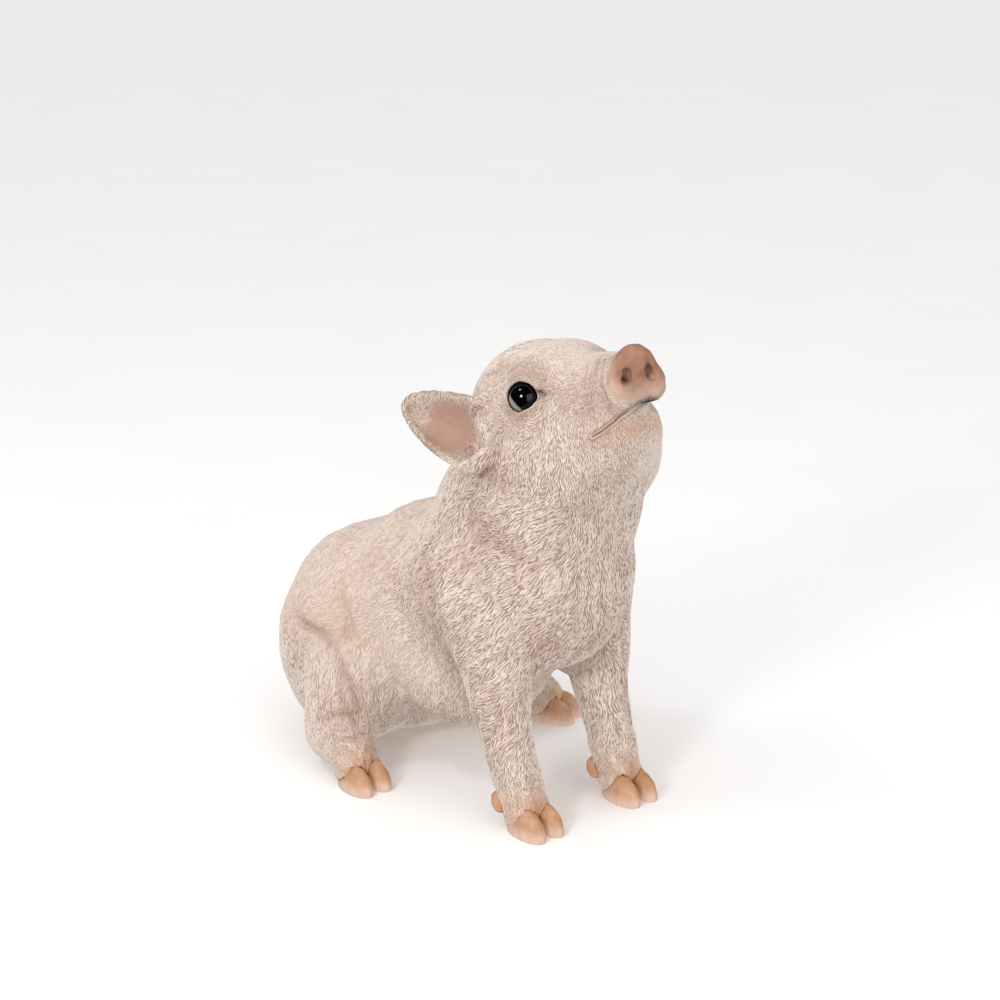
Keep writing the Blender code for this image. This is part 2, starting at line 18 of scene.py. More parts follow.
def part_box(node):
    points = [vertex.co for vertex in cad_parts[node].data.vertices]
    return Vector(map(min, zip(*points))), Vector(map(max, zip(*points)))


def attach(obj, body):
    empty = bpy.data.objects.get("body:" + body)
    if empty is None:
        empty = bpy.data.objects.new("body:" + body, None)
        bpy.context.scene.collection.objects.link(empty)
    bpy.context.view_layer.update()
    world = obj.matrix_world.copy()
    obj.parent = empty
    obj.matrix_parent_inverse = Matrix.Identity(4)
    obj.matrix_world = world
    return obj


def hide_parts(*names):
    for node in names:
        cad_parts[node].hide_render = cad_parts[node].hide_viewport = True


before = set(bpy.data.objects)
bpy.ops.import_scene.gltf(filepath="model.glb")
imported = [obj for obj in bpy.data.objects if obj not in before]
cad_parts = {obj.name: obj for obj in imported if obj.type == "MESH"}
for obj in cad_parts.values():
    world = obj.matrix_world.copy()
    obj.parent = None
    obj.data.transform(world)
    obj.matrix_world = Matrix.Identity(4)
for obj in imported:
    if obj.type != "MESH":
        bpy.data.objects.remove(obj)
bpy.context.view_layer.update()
MM = 0.001
print("solids loaded:", len(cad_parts))

# %% [markdown]
# ## The camera
# A product picture of a small figure is taken with a long lens from about seven tenths of a
# metre. A camera can be placed by hand with the view locked to it. Here its turn, its height, its
# distance and its lens were found by laying the figure's outline over the picture, so they are
# typed in as numbers.

# %% Camera
CAMERA_AZIMUTH = radians(-39.134)
CAMERA_ELEVATION = radians(17.91)
CAMERA_DISTANCE = 0.6912
CAMERA_AIM = Vector((-0.001, -0.0114, 0.09604))
SENSOR = 36  # millimetres
FRAME_WIDTH = 1000  # pixels
FOCAL_LENGTH = 2136.67  # in pixels of that frame
LENS = FOCAL_LENGTH * SENSOR / FRAME_WIDTH
NEAREST_SEEN = 0.01


def away(azimuth, elevation):
    """The direction from the figure to a place round it."""
    flat = cos(elevation)
    return Vector((sin(azimuth) * flat, -cos(azimuth) * flat, sin(elevation)))


bpy.ops.object.select_all(action="DESELECT")
look = away(CAMERA_AZIMUTH, CAMERA_ELEVATION)
bpy.ops.object.camera_add(location=CAMERA_AIM + look * CAMERA_DISTANCE)
camera = bpy.context.object
camera.name = "studio_camera"
camera.rotation_mode = "QUATERNION"
camera.rotation_quaternion = (-look).to_track_quat("-Z", "Y")
camera.data.sensor_width = SENSOR
camera.data.lens = LENS
camera.data.clip_start = NEAREST_SEEN
bpy.context.scene.camera = camera
print("camera", [round(v, 4) for v in camera.location], "lens", round(LENS, 2), "mm")

# %% [markdown]
# ## Floor and studio light
# The figure stands on plain white paper, in the even light of a white studio. A world shader gives
# that light from all round: nearly the same from the horizon as from straight above, and a little
# more from below, which stands for the glow of the paper. The paper could shed that glow itself,
# but it would also show in the black eyes and turn them grey, so it is hidden from the rays that
# light the figure. Two small soft boxes on the figure's right side are the key light. They are
# small and bright, because the eyes mirror them as sharp points. A large dim box fills the front.

# %% Floor
FLOOR_SIZE = 24
PAPER_CLOUDS = 73 * MM


def srgb(code):
    """An sRGB hex colour as the linear colour that a shader takes."""
    parts = [int(code[i : i + 2], 16) / 255 for i in (1, 3, 5)]
    linear = [c / 12.92 if c <= 0.04045 else ((c + 0.055) / 1.055) ** 2.4 for c in parts]
    return (*linear, 1.0)


def add(tree, kind, inputs=(), **settings):
    """Adds a node with its settings. Inputs are (socket, value or another node's output)."""
    made = tree.nodes.new(kind)
    for name, value in settings.items():
        setattr(made, name, value)
    for socket, value in inputs:
        if isinstance(value, bpy.types.NodeSocket):
            tree.links.new(value, made.inputs[socket])
        else:
            made.inputs[socket].default_value = value
    return made


def new_material(name):
    """An empty material with its tree and its output node."""
    material = bpy.data.materials.new(name)
    material.use_nodes = True
    material.node_tree.nodes.clear()
    return material, material.node_tree, material.node_tree.nodes.new("ShaderNodeOutputMaterial")


paper, tree, output = new_material("white_studio_paper")
# Uncoated paper: matt and even, with the faintest clouds in the sheet, a hand's breadth wide
here = add(tree, "ShaderNodeTexCoord").outputs["Object"]
clouds = add(
    tree, "ShaderNodeTexNoise", [("Vector", here), ("Scale", 1 / PAPER_CLOUDS), ("Detail", 2.0)]
)
tint = add(
    tree,
    "ShaderNodeMix",
    [(0, clouds.outputs[0]), (6, srgb("#f7f6f5")), (7, srgb("#fbfafa"))],
    data_type="RGBA",
)
sheet = add(tree, "ShaderNodeBsdfPrincipled", [("Base Color", tint.outputs[2]), ("Roughness", 0.9)])
tree.links.new(sheet.outputs[0], output.inputs[0])
bpy.ops.mesh.primitive_plane_add(size=FLOOR_SIZE)
floor = bpy.context.object
floor.name = "studio_floor"
floor.data.materials.append(paper)
floor.visible_diffuse = False
floor.visible_glossy = False
print("floor", FLOOR_SIZE, "m square")

# %% Lights
SKY_HORIZON, SKY_ZENITH, SKY_BELOW = 0.94, 0.92, 1.00
SKY_BLEND = 0.05  # how far under the horizon the lower half of the sky begins
SOFT_BOXES = (
    # name, place, size in metres, power in watts
    ("high_key_box", (-0.43, 0.12, 0.80), 0.16, 0.85),
    ("side_key_box", (-0.73, -0.29, 0.42), 0.18, 2.3),
    ("front_fill_box", (-0.10, -0.95, 0.30), 0.80, 2.4),
)
LIGHT_AIM = Vector((0, -0.01, 0.08))

world = bpy.data.worlds.new("white_studio")
world.use_nodes = True
sky = world.node_tree
direction = add(sky, "ShaderNodeTexCoord").outputs["Generated"]
upward = add(sky, "ShaderNodeSeparateXYZ", [(0, direction)]).outputs["Z"]
above = add(
    sky, "ShaderNodeMapRange", [("Value", upward), ("To Min", SKY_HORIZON), ("To Max", SKY_ZENITH)]
).outputs[0]
glow = add(
    sky,
    "ShaderNodeMapRange",
    [
        ("Value", upward),
        ("From Min", -SKY_BLEND),
        ("From Max", 0.0),
        ("To Min", SKY_BELOW),
        ("To Max", above),
    ],
).outputs[0]
sky.nodes["Background"].inputs[0].default_value = srgb("#ffffff")
sky.links.new(glow, sky.nodes["Background"].inputs[1])
bpy.context.scene.world = world
# The sky is kept out of reflections, as black flags do in a studio, so that the eyes stay black
world.cycles_visibility.glossy = False
bpy.context.scene.view_settings.view_transform = "Standard"
for name, place, size, power in SOFT_BOXES:
    bpy.ops.object.light_add(type="AREA", location=place)
    lamp = bpy.context.object
    lamp.name = name
    lamp.data.size = size
    lamp.data.energy = power
    lamp.rotation_mode = "QUATERNION"
    lamp.rotation_quaternion = (LIGHT_AIM - Vector(place)).to_track_quat("-Z", "Y")
print("lights", [row[0] for row in SOFT_BOXES])

# %% [markdown]
# ## The casting
# The real figure comes out of one mould, so no seam shows between its parts. The solids are
# parted by thin gaps, so their copies are joined, swollen by a little more than half the gap so
# that they touch, and remeshed with small voxels into one closed skin. That skin is then drawn in
# again, to lie a quarter of a millimetre inside the solids: the carved hair fills that depth.

# %% Copying the solids
SIDES = ("left", "right")
FLESH = ["torso", "neck", "head", "lower_jaw", "snout", "tail"]
for side in SIDES:
    FLESH += ["ear_" + side, "upper_foreleg_" + side, "lower_foreleg_" + side]
    FLESH += ["thigh_" + side, "hind_foot_" + side]
SAME_POINT = 0.002 * MM


def only(*objects):
    """Selects these objects alone and makes the first one active."""
    bpy.ops.object.select_all(action="DESELECT")
    for obj in objects:
        obj.select_set(True)
    bpy.context.view_layer.objects.active = objects[0]


def apply_modifier(obj, kind, **settings):
    """Adds a modifier with its settings and applies it."""
    modifier = obj.modifiers.new(kind.lower(), kind)
    for name, value in settings.items():
        setattr(modifier, name, value)
    only(obj)
    bpy.ops.object.modifier_apply(modifier=modifier.name)


def copy_of(name, *nodes):
    """One mesh from copies of these solids, with the doubles of their loose triangles merged."""
    only(*(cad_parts[node] for node in nodes))
    bpy.ops.object.duplicate()
    copies = list(bpy.context.selected_objects)
    bpy.context.view_layer.objects.active = copies[0]
    if len(copies) > 1:
        bpy.ops.object.join()
    made = bpy.context.view_layer.objects.active
    made.name = made.data.name = name
    for tag in list(made.keys()):
        del made[tag]
    made.parent = None
    made.data.materials.clear()
    bpy.ops.object.mode_set(mode="EDIT")
    bpy.ops.mesh.select_all(action="SELECT")
    bpy.ops.mesh.remove_doubles(threshold=SAME_POINT)
    bpy.ops.object.mode_set(mode="OBJECT")
    return made


skin = copy_of("piglet_skin", *FLESH)
print("joined solids:", len(skin.data.polygons), "faces")

# %% Fusing them into one skin
GAP_CLOSING = 0.24 * MM
SKIN_VOXEL = 0.5 * MM
COAT_DEPTH = 0.25 * MM
SOFTENING = 5  # rounds of smoothing, which take the voxels' steps away

apply_modifier(skin, "DISPLACE", strength=GAP_CLOSING, mid_level=0)
apply_modifier(skin, "REMESH", mode="VOXEL", voxel_size=SKIN_VOXEL, adaptivity=0)
apply_modifier(skin, "SMOOTH", factor=0.5, iterations=SOFTENING)
apply_modifier(skin, "DISPLACE", strength=-GAP_CLOSING - COAT_DEPTH, mid_level=0)
print("fused skin:", len(skin.data.vertices), "points")

# %% [markdown]
# ## The lines of the folds
# On the model for the mould the folds were pressed and the ridges built up with a tool. In
# Blender that would be sculpt mode's crease brush, which needs a hand and a window. Here each
# fold is a line through a few points on the skin, and every point of the skin near the line moves
# along its own normal: in for a groove, out for a ridge, fading with the distance. The same lines
# hold the brown wash later, because thin paint runs into folds. A line of the right side is
# mirrored to the left.

# %% Lines of the folds
# The plane of symmetry of the head and forequarters, in millimetres
MIDDLE = round(sum(v.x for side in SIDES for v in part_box("eye_" + side)) / 4 / MM, 2)

MOUTH = (
    (-14.6, -70.9, 133.2), (-12.2, -72.6, 134.9), (-8.8, -73.4, 136.9),
    (-6.5, -74.6, 138.8), (-3.2, -75.9, 140.6), (-0.6, -76.8, 141.6),
)
# The snout is turned to the left, so the left half of the mouth runs closer under its disc
MOUTH_LEFT = (
    (13.5, -69.8, 135.0), (10.9, -72.3, 137.9), (7.6, -74.6, 140.0),
    (4.6, -76.0, 141.1), (1.8, -76.9, 141.7), (-0.6, -76.8, 141.6),
)
# name: (points in millimetres, half width and depth in millimetres, wash, both sides)
FOLDS = {
    "lid crease": (
        (-16.3, -51.9, 143.8), (-16.4, -49.3, 145.8), (-17.0, -45.8, 146.8),
        (-19.0, -43.5, 147.2), (-20.5, -40.6, 145.9), (-20.2, -37.6, 143.1),
        0.5, -0.5, 0.75, True,
    ),
    "brow fold": (
        (-15.5, -51.8, 145.2), (-15.5, -49.1, 147.4), (-16.0, -45.1, 148.4),
        (-18.3, -42.3, 148.8), (-19.6, -38.5, 147.4), (-19.2, -34.3, 144.1),
        0.6, -0.5, 0.6, True,
    ),
    "upper brow fold": (
        (-14.5, -51.7, 146.9), (-14.5, -48.4, 149.0), (-14.7, -43.5, 149.9),
        (-16.9, -40.0, 150.0), (-15.8, -32.5, 147.6), (-18.1, -30.5, 145.0),
        0.7, -0.45, 0.45, True,
    ),
    "lower lid crease": (
        (-16.7, -52.5, 142.4), (-19.7, -51.4, 138.4), (-22.0, -47.7, 135.8),
        (-22.6, -41.7, 135.3), (-22.3, -38.6, 137.4),
        0.5, -0.45, 0.65, True,
    ),
    "bag": (
        (-20.3, -53.0, 137.3), (-22.6, -49.3, 134.8), (-22.9, -43.0, 134.0),
        0.7, -0.35, 0.45, True,
    ),
    "ring at the disc": (
        (-5.6, -67.0, 155.2), (-9.1, -68.8, 152.5), (-10.5, -70.3, 148.8),
        (-10.4, -72.1, 145.5), (-9.4, -74.6, 142.3),
        0.55, -0.6, 0.75, True,
    ),
    "second muzzle ring": (
        (-4.7, -64.2, 155.1), (-8.2, -66.0, 153.0), (-10.8, -67.5, 149.4),
        (-11.6, -69.9, 145.5), (-10.9, -72.4, 141.6), (-8.6, -74.0, 139.4),
        0.65, -0.5, 0.6, True,
    ),
    "third muzzle ring": (
        (-6.8, -60.8, 154.0), (-10.1, -62.6, 151.4), (-12.6, -64.4, 147.0), (-13.6, -66.6, 142.4),
        (-12.9, -69.6, 138.2),
        0.8, -0.38, 0.42, True,
    ),
    "mouth": (*MOUTH, 0.42, -1.1, 1.0, False),
    "left half of the mouth": (*MOUTH_LEFT, 0.42, -1.1, 1.0, False),
    "lip under the disc": (
        (-1.8, -78.6, 142.9), (1.0, -79.3, 143.4), (3.8, -79.0, 142.5),
        1.5, -1.5, 0.9, False,
    ),
    "cheek fold": (
        (-29.2, -36.4, 122.4), (-26.4, -36.8, 117.6), (-25.8, -41.5, 114.6), (-25.6, -48.3, 113.1),
        1.3, -0.5, 0.45, True,
    ),
    "neck fold": (
        (-26.3, -25.0, 105.9), (-26.9, -28.8, 101.5), (-26.9, -34.0, 96.9),
        (-27.0, -40.2, 93.6), (-26.1, -45.0, 91.7), (-24.4, -48.8, 90.9),
        1.9, -1.0, 0.6, True,
    ),
    "shoulder rear": (
        (-32.4, -10.6, 83.4), (-34.9, -16.5, 78.8), (-35.4, -19.6, 72.5), (-34.7, -21.3, 65.6),
        (-31.7, -20.5, 57.2), (-27.2, -18.7, 49.0), (-22.6, -16.7, 40.9),
        1.9, -1.2, 0.75, True,
    ),
    "armpit": (
        (-16.6, -54.7, 67.2), (-15.8, -53.4, 63.1), (-16.2, -50.2, 58.6), (-15.2, -46.2, 51.9),
        (-14.4, -44.5, 46.0),
        1.0, -0.7, 0.8, True,
    ),
    "breast fold": (
        (3.3, -57.0, 62.0), (-1.4, -55.8, 59.2), (-4.4, -52.7, 55.3),
        1.0, -0.5, 0.6, False,
    ),
    "haunch crease": (
        (-34.6, 33.4, 62.0), (-35.2, 31.3, 59.0), (-36.1, 27.2, 54.6), (-37.1, 23.8, 49.0),
        (-37.6, 20.4, 44.7),
        1.7, -1.5, 0.9, False,
    ),
    "knee arc": (
        (-41.3, 47.1, 46.7), (-41.2, 42.0, 45.9), (-41.0, 36.2, 46.0), (-41.5, 30.1, 45.9),
        (-42.1, 25.0, 43.5), (-41.8, 21.9, 39.9), (-40.7, 19.7, 33.6), (-39.0, 18.2, 28.8),
        (-37.3, 17.1, 24.1), (-36.2, 15.9, 19.2),
        1.1, -1.3, 0.9, False,
    ),
    "knee ridge": (
        (-42.3, 46.6, 44.2), (-42.2, 40.6, 43.6), (-42.2, 34.6, 43.7), (-42.9, 29.4, 43.3),
        (-43.6, 25.4, 40.4), (-43.0, 22.6, 35.6),
        1.6, 0.6, 0.0, False,
    ),
    "ankle arc": (
        (-48.6, 23.4, 17.7), (-47.2, 22.3, 20.7), (-45.3, 20.6, 22.6), (-42.7, 19.0, 22.9),
        (-39.7, 18.3, 21.4), (-38.4, 16.6, 18.2),
        0.9, -0.7, 0.75, False,
    ),
    "fore cleft": (
        (-21.9, -54.4, 13.4), (-21.3, -54.6, 11.9), (-20.4, -55.5, 8.9), (-20.2, -56.6, 5.6),
        0.7, -0.8, 0.9, True,
    ),
    "hind cleft": (
        (-44.1, 7.0, 12.4), (-43.8, 6.4, 11.2), (-43.4, 5.5, 8.7), (-42.9, 4.8, 6.0),
        0.7, -0.8, 0.9, False,
    ),
}
MOUTH_LINES = [np.array(MOUTH), np.array(MOUTH_LEFT)]
print("lines of folds:", len(FOLDS))

# %% Measuring along the lines
FOLD_ENDS = 0.3  # the share of its depth that a fold has at its ends
FOLD_RUN_IN = 3.5  # how many half widths it takes to reach its full depth


def ease(x):
    """0 below 0, 1 above 1 and a smooth rise between."""
    x = np.clip(x, 0, 1)
    return x * x * (3 - 2 * x)


def near_line(points, line, reach):
    """Which points lie within reach of a line of straight stretches, and how far each is."""
    low, high = line.min(0) - reach, line.max(0) + reach
    inside = np.flatnonzero(((points > low) & (points < high)).all(1))
    nearest = np.full(len(inside), 1e9)
    for start, end in zip(line[:-1], line[1:]):
        along = end - start
        share = np.clip((points[inside] - start) @ along / (along @ along), 0, 1)
        apart = np.linalg.norm(points[inside] - start - share[:, None] * along, axis=1)
        nearest = np.minimum(nearest, apart)
    return inside, nearest


def end_fade(points, line, width):
    """Lets a fold begin and end softly: low at its ends, 1 further along."""
    ends = [np.linalg.norm(points - end, axis=1) for end in (line[0], line[-1])]
    return FOLD_ENDS + (1 - FOLD_ENDS) * ease(np.minimum(*ends) / (FOLD_RUN_IN * width))


def mirrored(points):
    """Points of the right side, carried to the left."""
    return points * (-1, 1, 1) + (2 * MIDDLE, 0, 0)


def fold_lines():
    """Every fold: its line in millimetres, half width, depth and wash, with the mirrored ones."""
    for fold in FOLDS.values():
        *line, width, depth, wash, both = fold
        line = np.array(line)
        yield line, width, depth, wash
        if both:
            yield mirrored(line), width, depth, wash


print("with the mirrored ones:", sum(1 for _ in fold_lines()))

# %% [markdown]
# ## Finer faces where the work is small
# The mouth is less than a millimetre wide and the lids end in a sharp edge, while the faces of the
# skin are half a millimetre wide. A smaller voxel would make the whole skin finer, so only the
# faces round the eyes and along the mouth are subdivided.

# %% Finer faces for the eyes and the mouth
low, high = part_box("eye_right")
EYE = np.array((low + high) / 2) / MM
# All in millimetres: the ball with its clearance, and how far the finer faces reach
EYE_BALL = 5.25
EYE_ZONE = 8.5
MOUTH_ZONE = 1.6
MOUTH_REACH = 4.0
FAR = 9.0  # stands for any distance out of reach


def numbers_of(items, field, width, kind=float):
    """One field of all the items of a mesh, as rows of this many numbers."""
    found = np.empty(len(items) * width, kind)
    items.foreach_get(field, found)
    return found.reshape(-1, width)


def eye_distance(points):
    """How far each point is from the middle of the nearer eye."""
    right = np.linalg.norm(points - EYE, axis=1)
    return np.minimum(right, np.linalg.norm(points - mirrored(EYE), axis=1))


def mouth_distance(points):
    """How far each point is from the line of the mouth, or FAR where it is out of reach."""
    found = np.full(len(points), FAR)
    for line in MOUTH_LINES:
        inside, apart = near_line(points, line, MOUTH_REACH)
        found[inside] = np.minimum(found[inside], apart)
    return found


centres = numbers_of(skin.data.polygons, "center", 3) / MM
small_work = (eye_distance(centres) < EYE_ZONE) | (mouth_distance(centres) < MOUTH_ZONE)
only(skin)
bpy.ops.object.mode_set(mode="EDIT")
bpy.ops.mesh.select_mode(type="FACE")
bpy.ops.mesh.select_all(action="DESELECT")
bpy.ops.object.mode_set(mode="OBJECT")
skin.data.polygons.foreach_set("select", small_work)
bpy.ops.object.mode_set(mode="EDIT")
bpy.ops.mesh.subdivide(number_cuts=1)
bpy.ops.object.mode_set(mode="OBJECT")
print("split", int(small_work.sum()), "faces round the eyes and along the mouth")

# %% [markdown]
# ## Eyelids
# The glass ball is set into an opening that the casting's lids close round, almond shaped with a
# point at the inner corner. The opening in the skin so far is what the solids leave. It could be
# moved by hand with proportional editing. Here every point near the ball is read as a turn round
# the way the eye looks and an angle away from it, and the lids' edge is drawn to the angle that a
# table gives for each turn. The skin behind the edge follows less and less.

# %% Eyelids
EYE_LOOK = Vector((-0.85, -0.46, 0.24)).normalized()
EYE_TILT = radians(13)  # how far the head's own forward way is turned up
LID_FADE = radians(50)  # how far behind the edge the skin still follows
LID_PULL = (radians(-6), radians(28))  # the most that the edge is drawn back or forward
LID_SLOTS = 36  # directions round the ball in which the lids' edge is measured
# All in millimetres: how far from the middle of the ball points move, how near the ball the skin
# counts as lid, where over the ball the pull ends and how gently, and the room left to the ball
LID_ZONE, LID_SKIN, LID_DEPTH, LID_DEPTH_FADE, LID_ROOM = 10, 1.2, 1.8, 2.5, 0.1
# How far the lids leave the ball bare: the turn round the way the eye looks, from the inner
# corner upwards, and the angle away from it, in degrees
LID_OPENING = (
    (-180, 55), (-155, 64), (-131, 63), (-103, 51), (-75, 41), (-50, 43), (-23, 48), (0, 58),
    (8, 76), (16, 92), (24, 84), (34, 66), (53, 61), (88, 62), (128, 57), (169, 51), (180, 55),
)
forward = Vector((0, -cos(EYE_TILT), sin(EYE_TILT)))
inner = (forward - EYE_LOOK * forward.dot(EYE_LOOK)).normalized()
upper = EYE_LOOK.cross(inner)
eye_axes = np.array((inner, upper, EYE_LOOK))


def close_lids(points):
    """Draws the lids of the right eye over the ball, to the opening above."""
    near = np.flatnonzero(np.linalg.norm(points - EYE, axis=1) < LID_ZONE)
    local = (points[near] - EYE) @ eye_axes.T
    reach = np.linalg.norm(local, axis=1)
    out = np.arccos(np.clip(local[:, 2] / reach, -1, 1))
    turn = np.arctan2(local[:, 1], local[:, 0])
    # The edge of the lids as it is: the least angle in each slot, averaged with its neighbours
    slot = ((turn + np.pi) / (2 * np.pi) * LID_SLOTS).astype(int) % LID_SLOTS
    rim = np.full(LID_SLOTS, np.pi / 2)
    lids = reach < EYE_BALL + LID_SKIN
    np.minimum.at(rim, slot[lids], out[lids])
    wide = np.concatenate([rim, rim, rim])
    rim = np.convolve(wide, (0.25, 0.5, 0.25), "same")[LID_SLOTS : 2 * LID_SLOTS]
    slots = np.radians((np.arange(LID_SLOTS + 2) - 0.5) * 360 / LID_SLOTS - 180)
    rim_here = np.interp(turn, slots, np.concatenate([rim[-1:], rim, rim[:1]]))
    degrees, opening = np.radians(np.array(LID_OPENING, float)).T
    pull = np.clip(rim_here - np.interp(turn, degrees, opening), *LID_PULL)
    pull *= 1 - ease((out - rim_here) / LID_FADE)
    pull *= 1 - ease((reach - EYE_BALL - LID_DEPTH) / LID_DEPTH_FADE)
    out -= pull
    reach = np.where(out < np.pi / 2, np.maximum(reach, EYE_BALL + LID_ROOM), reach)
    flat = np.sin(out) * reach
    local = np.stack([flat * np.cos(turn), flat * np.sin(turn), np.cos(out) * reach], axis=1)
    points[near] = local @ eye_axes + EYE
    print("lids pulled by up to", round(float(np.degrees(pull.max())), 1), "degrees")
    return points


def surface_of(obj):
    """The places of a mesh's points in millimetres, and their normals."""
    normals = numbers_of(obj.data.vertex_normals, "vector", 3, np.float32).astype(float)
    return numbers_of(obj.data.vertices, "co", 3) / MM, normals


def move_points(obj, places):
    """Moves a mesh's points to these places in millimetres."""
    obj.data.vertices.foreach_set("co", (places * MM).ravel())
    obj.data.update()


places, _ = surface_of(skin)
move_points(skin, mirrored(close_lids(mirrored(close_lids(places)))))

# %% [markdown]
# ## Pressing the folds
# Each point near a line now moves along its own normal by the depth of the fold, with the soft
# profile of a bell curve across the line. The way that the skin faces along the mouth is kept
# first, because a deep groove turns the normals of its walls.

# %% Pressing the folds
FOLD_REACH = 3  # half widths from its line at which a fold has faded out
FACING_REACH = 2.2  # millimetres of skin averaged for the way that it faces at the mouth

places, normals = surface_of(skin)
MOUTH_FACING = [
    np.array(
        [normals[np.linalg.norm(places - at, axis=1) < FACING_REACH].mean(0) for at in line]
    )
    for line in MOUTH_LINES
]
moved = np.zeros(len(places))
for line, width, depth, _ in fold_lines():
    inside, apart = near_line(places, line, FOLD_REACH * width)
    moved[inside] += depth * np.exp(-((apart / width) ** 2)) * end_fade(places[inside], line, width)
places += normals * moved[:, None]
move_points(skin, places)
print("deepest fold", round(float(-moved.min()), 2), "mm")
print("highest ridge", round(float(moved.max()), 2), "mm")

# %% [markdown]
# ## Fewer faces where the form is plain
# The skin is thinned to stay under two hundred thousand triangles. Decimate takes a vertex group
# that says where faces matter less, so the head keeps more of them than the back.

# %% Thinning the skin
SKIN_TRIANGLES = 190_000
# All in millimetres: the head begins at this height and is full this much higher, and the same
# from the back forwards
HEAD_HEIGHT, HEAD_RISE = 96, 12
HEAD_BACK, HEAD_RUN = 8, 10
HEAD_WEIGHT, SMALL_WORK_WEIGHT = 0.35, 0.1

head_share = np.clip((places[:, 2] - HEAD_HEIGHT) / HEAD_RISE, 0, 1)
head_share *= np.clip((HEAD_BACK - places[:, 1]) / HEAD_RUN, 0, 1)
weights = 1 - (1 - HEAD_WEIGHT) * head_share
small_work = (eye_distance(places) < EYE_ZONE) | (mouth_distance(places) < MOUTH_ZONE)
weights[small_work] = SMALL_WORK_WEIGHT
group = skin.vertex_groups.new(name="plain")
for level in np.unique(np.round(weights, 1)):
    members = np.flatnonzero(np.round(weights, 1) == level)
    group.add(members.tolist(), float(level), "REPLACE")
apply_modifier(
    skin,
    "DECIMATE",
    ratio=SKIN_TRIANGLES / (2 * len(skin.data.polygons)),
    use_collapse_triangulate=True,
    vertex_group="plain",
    vertex_group_factor=0.4,
)
skin.vertex_groups.clear()
only(skin)
bpy.ops.object.shade_smooth()
places, normals = surface_of(skin)
print("skin:", len(skin.data.polygons), "triangles,", len(places), "points")

# %% [markdown]
# ## Where each colour goes
# The painter worked by places: pink inside the ears, round the eyes and at the mouth, tan above
# the hooves, a darker snout, and a brown wash that settles in every hollow. The same wash mark
# also darkens skin that faces down, and that part is painted shade. Each of these is a number from
# 0 to 1 at a point of the surface, worked out from its place. They could be painted by hand in
# vertex paint mode. A function of the place is used instead, because the carved hair asks it for
# its own points too, so the markings of skin and hair agree.

# %% Patches of pink and tan
WAVES = 7
WAVE_RANGE = (1.6, 3.2)  # the shortest and longest waves, as multiples of the patches' size
WAVE_SUM = 3.2

BLUSH = (
    # place, radii and strength of each pink patch of the right side, in millimetres
    ((-29, -21, 127), (7.5, 7, 8), 0.9),
    ((-24.5, -25, 125), (4, 4, 6), 0.9),
    ((-14, -71, 133), (5, 5, 5), 0.7),
    ((-22, -46, 135), (4, 8, 3.5), 0.55),
    ((-17, -45, 147), (5, 8, 3), 0.5),
    ((-12, -64, 147), (4, 5, 8), 0.45),
    ((-26, -41, 118), (4, 6, 8), 0.35),
    ((-27, -36, 97), (5, 10, 8), 0.45),
    ((-24, -48, 92), (5, 6, 5), 0.4),
    ((-34, -15, 72), (5, 6, 14), 0.5),
    ((-16, -54, 60), (6, 6, 10), 0.55),
    ((-38, 24, 50), (6, 8, 12), 0.4),
    ((-42, 44, 47), (6, 10, 5), 0.5),
    ((-40, 18, 27), (6, 5, 9), 0.45),
    ((-47, 21, 21), (5, 4, 4), 0.45),
    ((-27, -44, 34), (6, 6, 10), 0.3),
    ((0, 74, 52), (9, 7, 9), 0.5),
)
TAN = (
    # the same for the tan ones: above the hooves and under the lips
    ((-21, -54, 6), (10, 9, 8.0), 1.0),
    ((-44, 8, 6), (9, 9, 7.5), 1.0),
    ((-10, -77, 134), (5, 4, 4), 0.45),
    ((0, -77, 135), (10, 4, 3.5), 0.5),
)


def dab(points, place, radii):
    """1 at a place and fading round it, as a dab of a soft brush does, with a radius each way."""
    return np.exp(-(((points - place) / radii) ** 2).sum(1))


def patches(points, rows):
    """The strongest of the soft patches at each point, with each patch also on the left side."""
    strongest = np.zeros(len(points))
    for place, radii, strength in rows:
        for centre in (place, mirrored(np.array(place))):
            strongest = np.maximum(strongest, strength * dab(points, centre, radii))
    return strongest


def swirl(points, size, seed):
    """Soft noise from -1 to 1 with patches of about this size, from a few crossed waves."""
    draw = np.random.default_rng(seed)
    total = np.zeros(len(points))
    for _ in range(WAVES):
        direction = draw.normal(size=3)
        direction *= 2 * np.pi / (size * draw.uniform(*WAVE_RANGE) * np.linalg.norm(direction))
        total += np.sin(points @ direction + draw.uniform(0, 2 * np.pi))
    return total / WAVE_SUM


print("patches on each side:", len(BLUSH), "pink,", len(TAN), "tan")

# %% The snout and the mouth
SNOUT_NORMAL = np.array((-0.122, -0.77, 0.62))
# In millimetres along that normal: where the smooth disc begins, over how much it does, where its
# pale rim begins to fade and over how much
SNOUT_BACK, SNOUT_SOFT = 149.6, 0.9
SNOUT_RIM, RIM_WIDTH = 151.2, 3
NOSTRILS = np.array(((-6.4, -76.3, 151.5), (0.9, -77.7, 152.1)))
NOSTRIL_DEPTH, NOSTRIL_HALF_WIDTH, NOSTRIL_HALF_HEIGHT = 5, 1.3, 2.1
NOSTRIL_EDGE = 1.5  # above 1 it makes the pit evenly dark with a clearer edge
# How far half a mouth reaches from its middle, how deep its groove's middle lies under the skin,
# and how far above and below that the dark line goes, in millimetres
MOUTH_SPAN, GROOVE_MIDDLE, GROOVE_REACH = 20, 0.6, 1.6


def snout_share(points):
    """1 on the smooth disc of the snout, 0 on the hairy skin behind it."""
    return ease((points @ SNOUT_NORMAL - SNOUT_BACK) / SNOUT_SOFT)


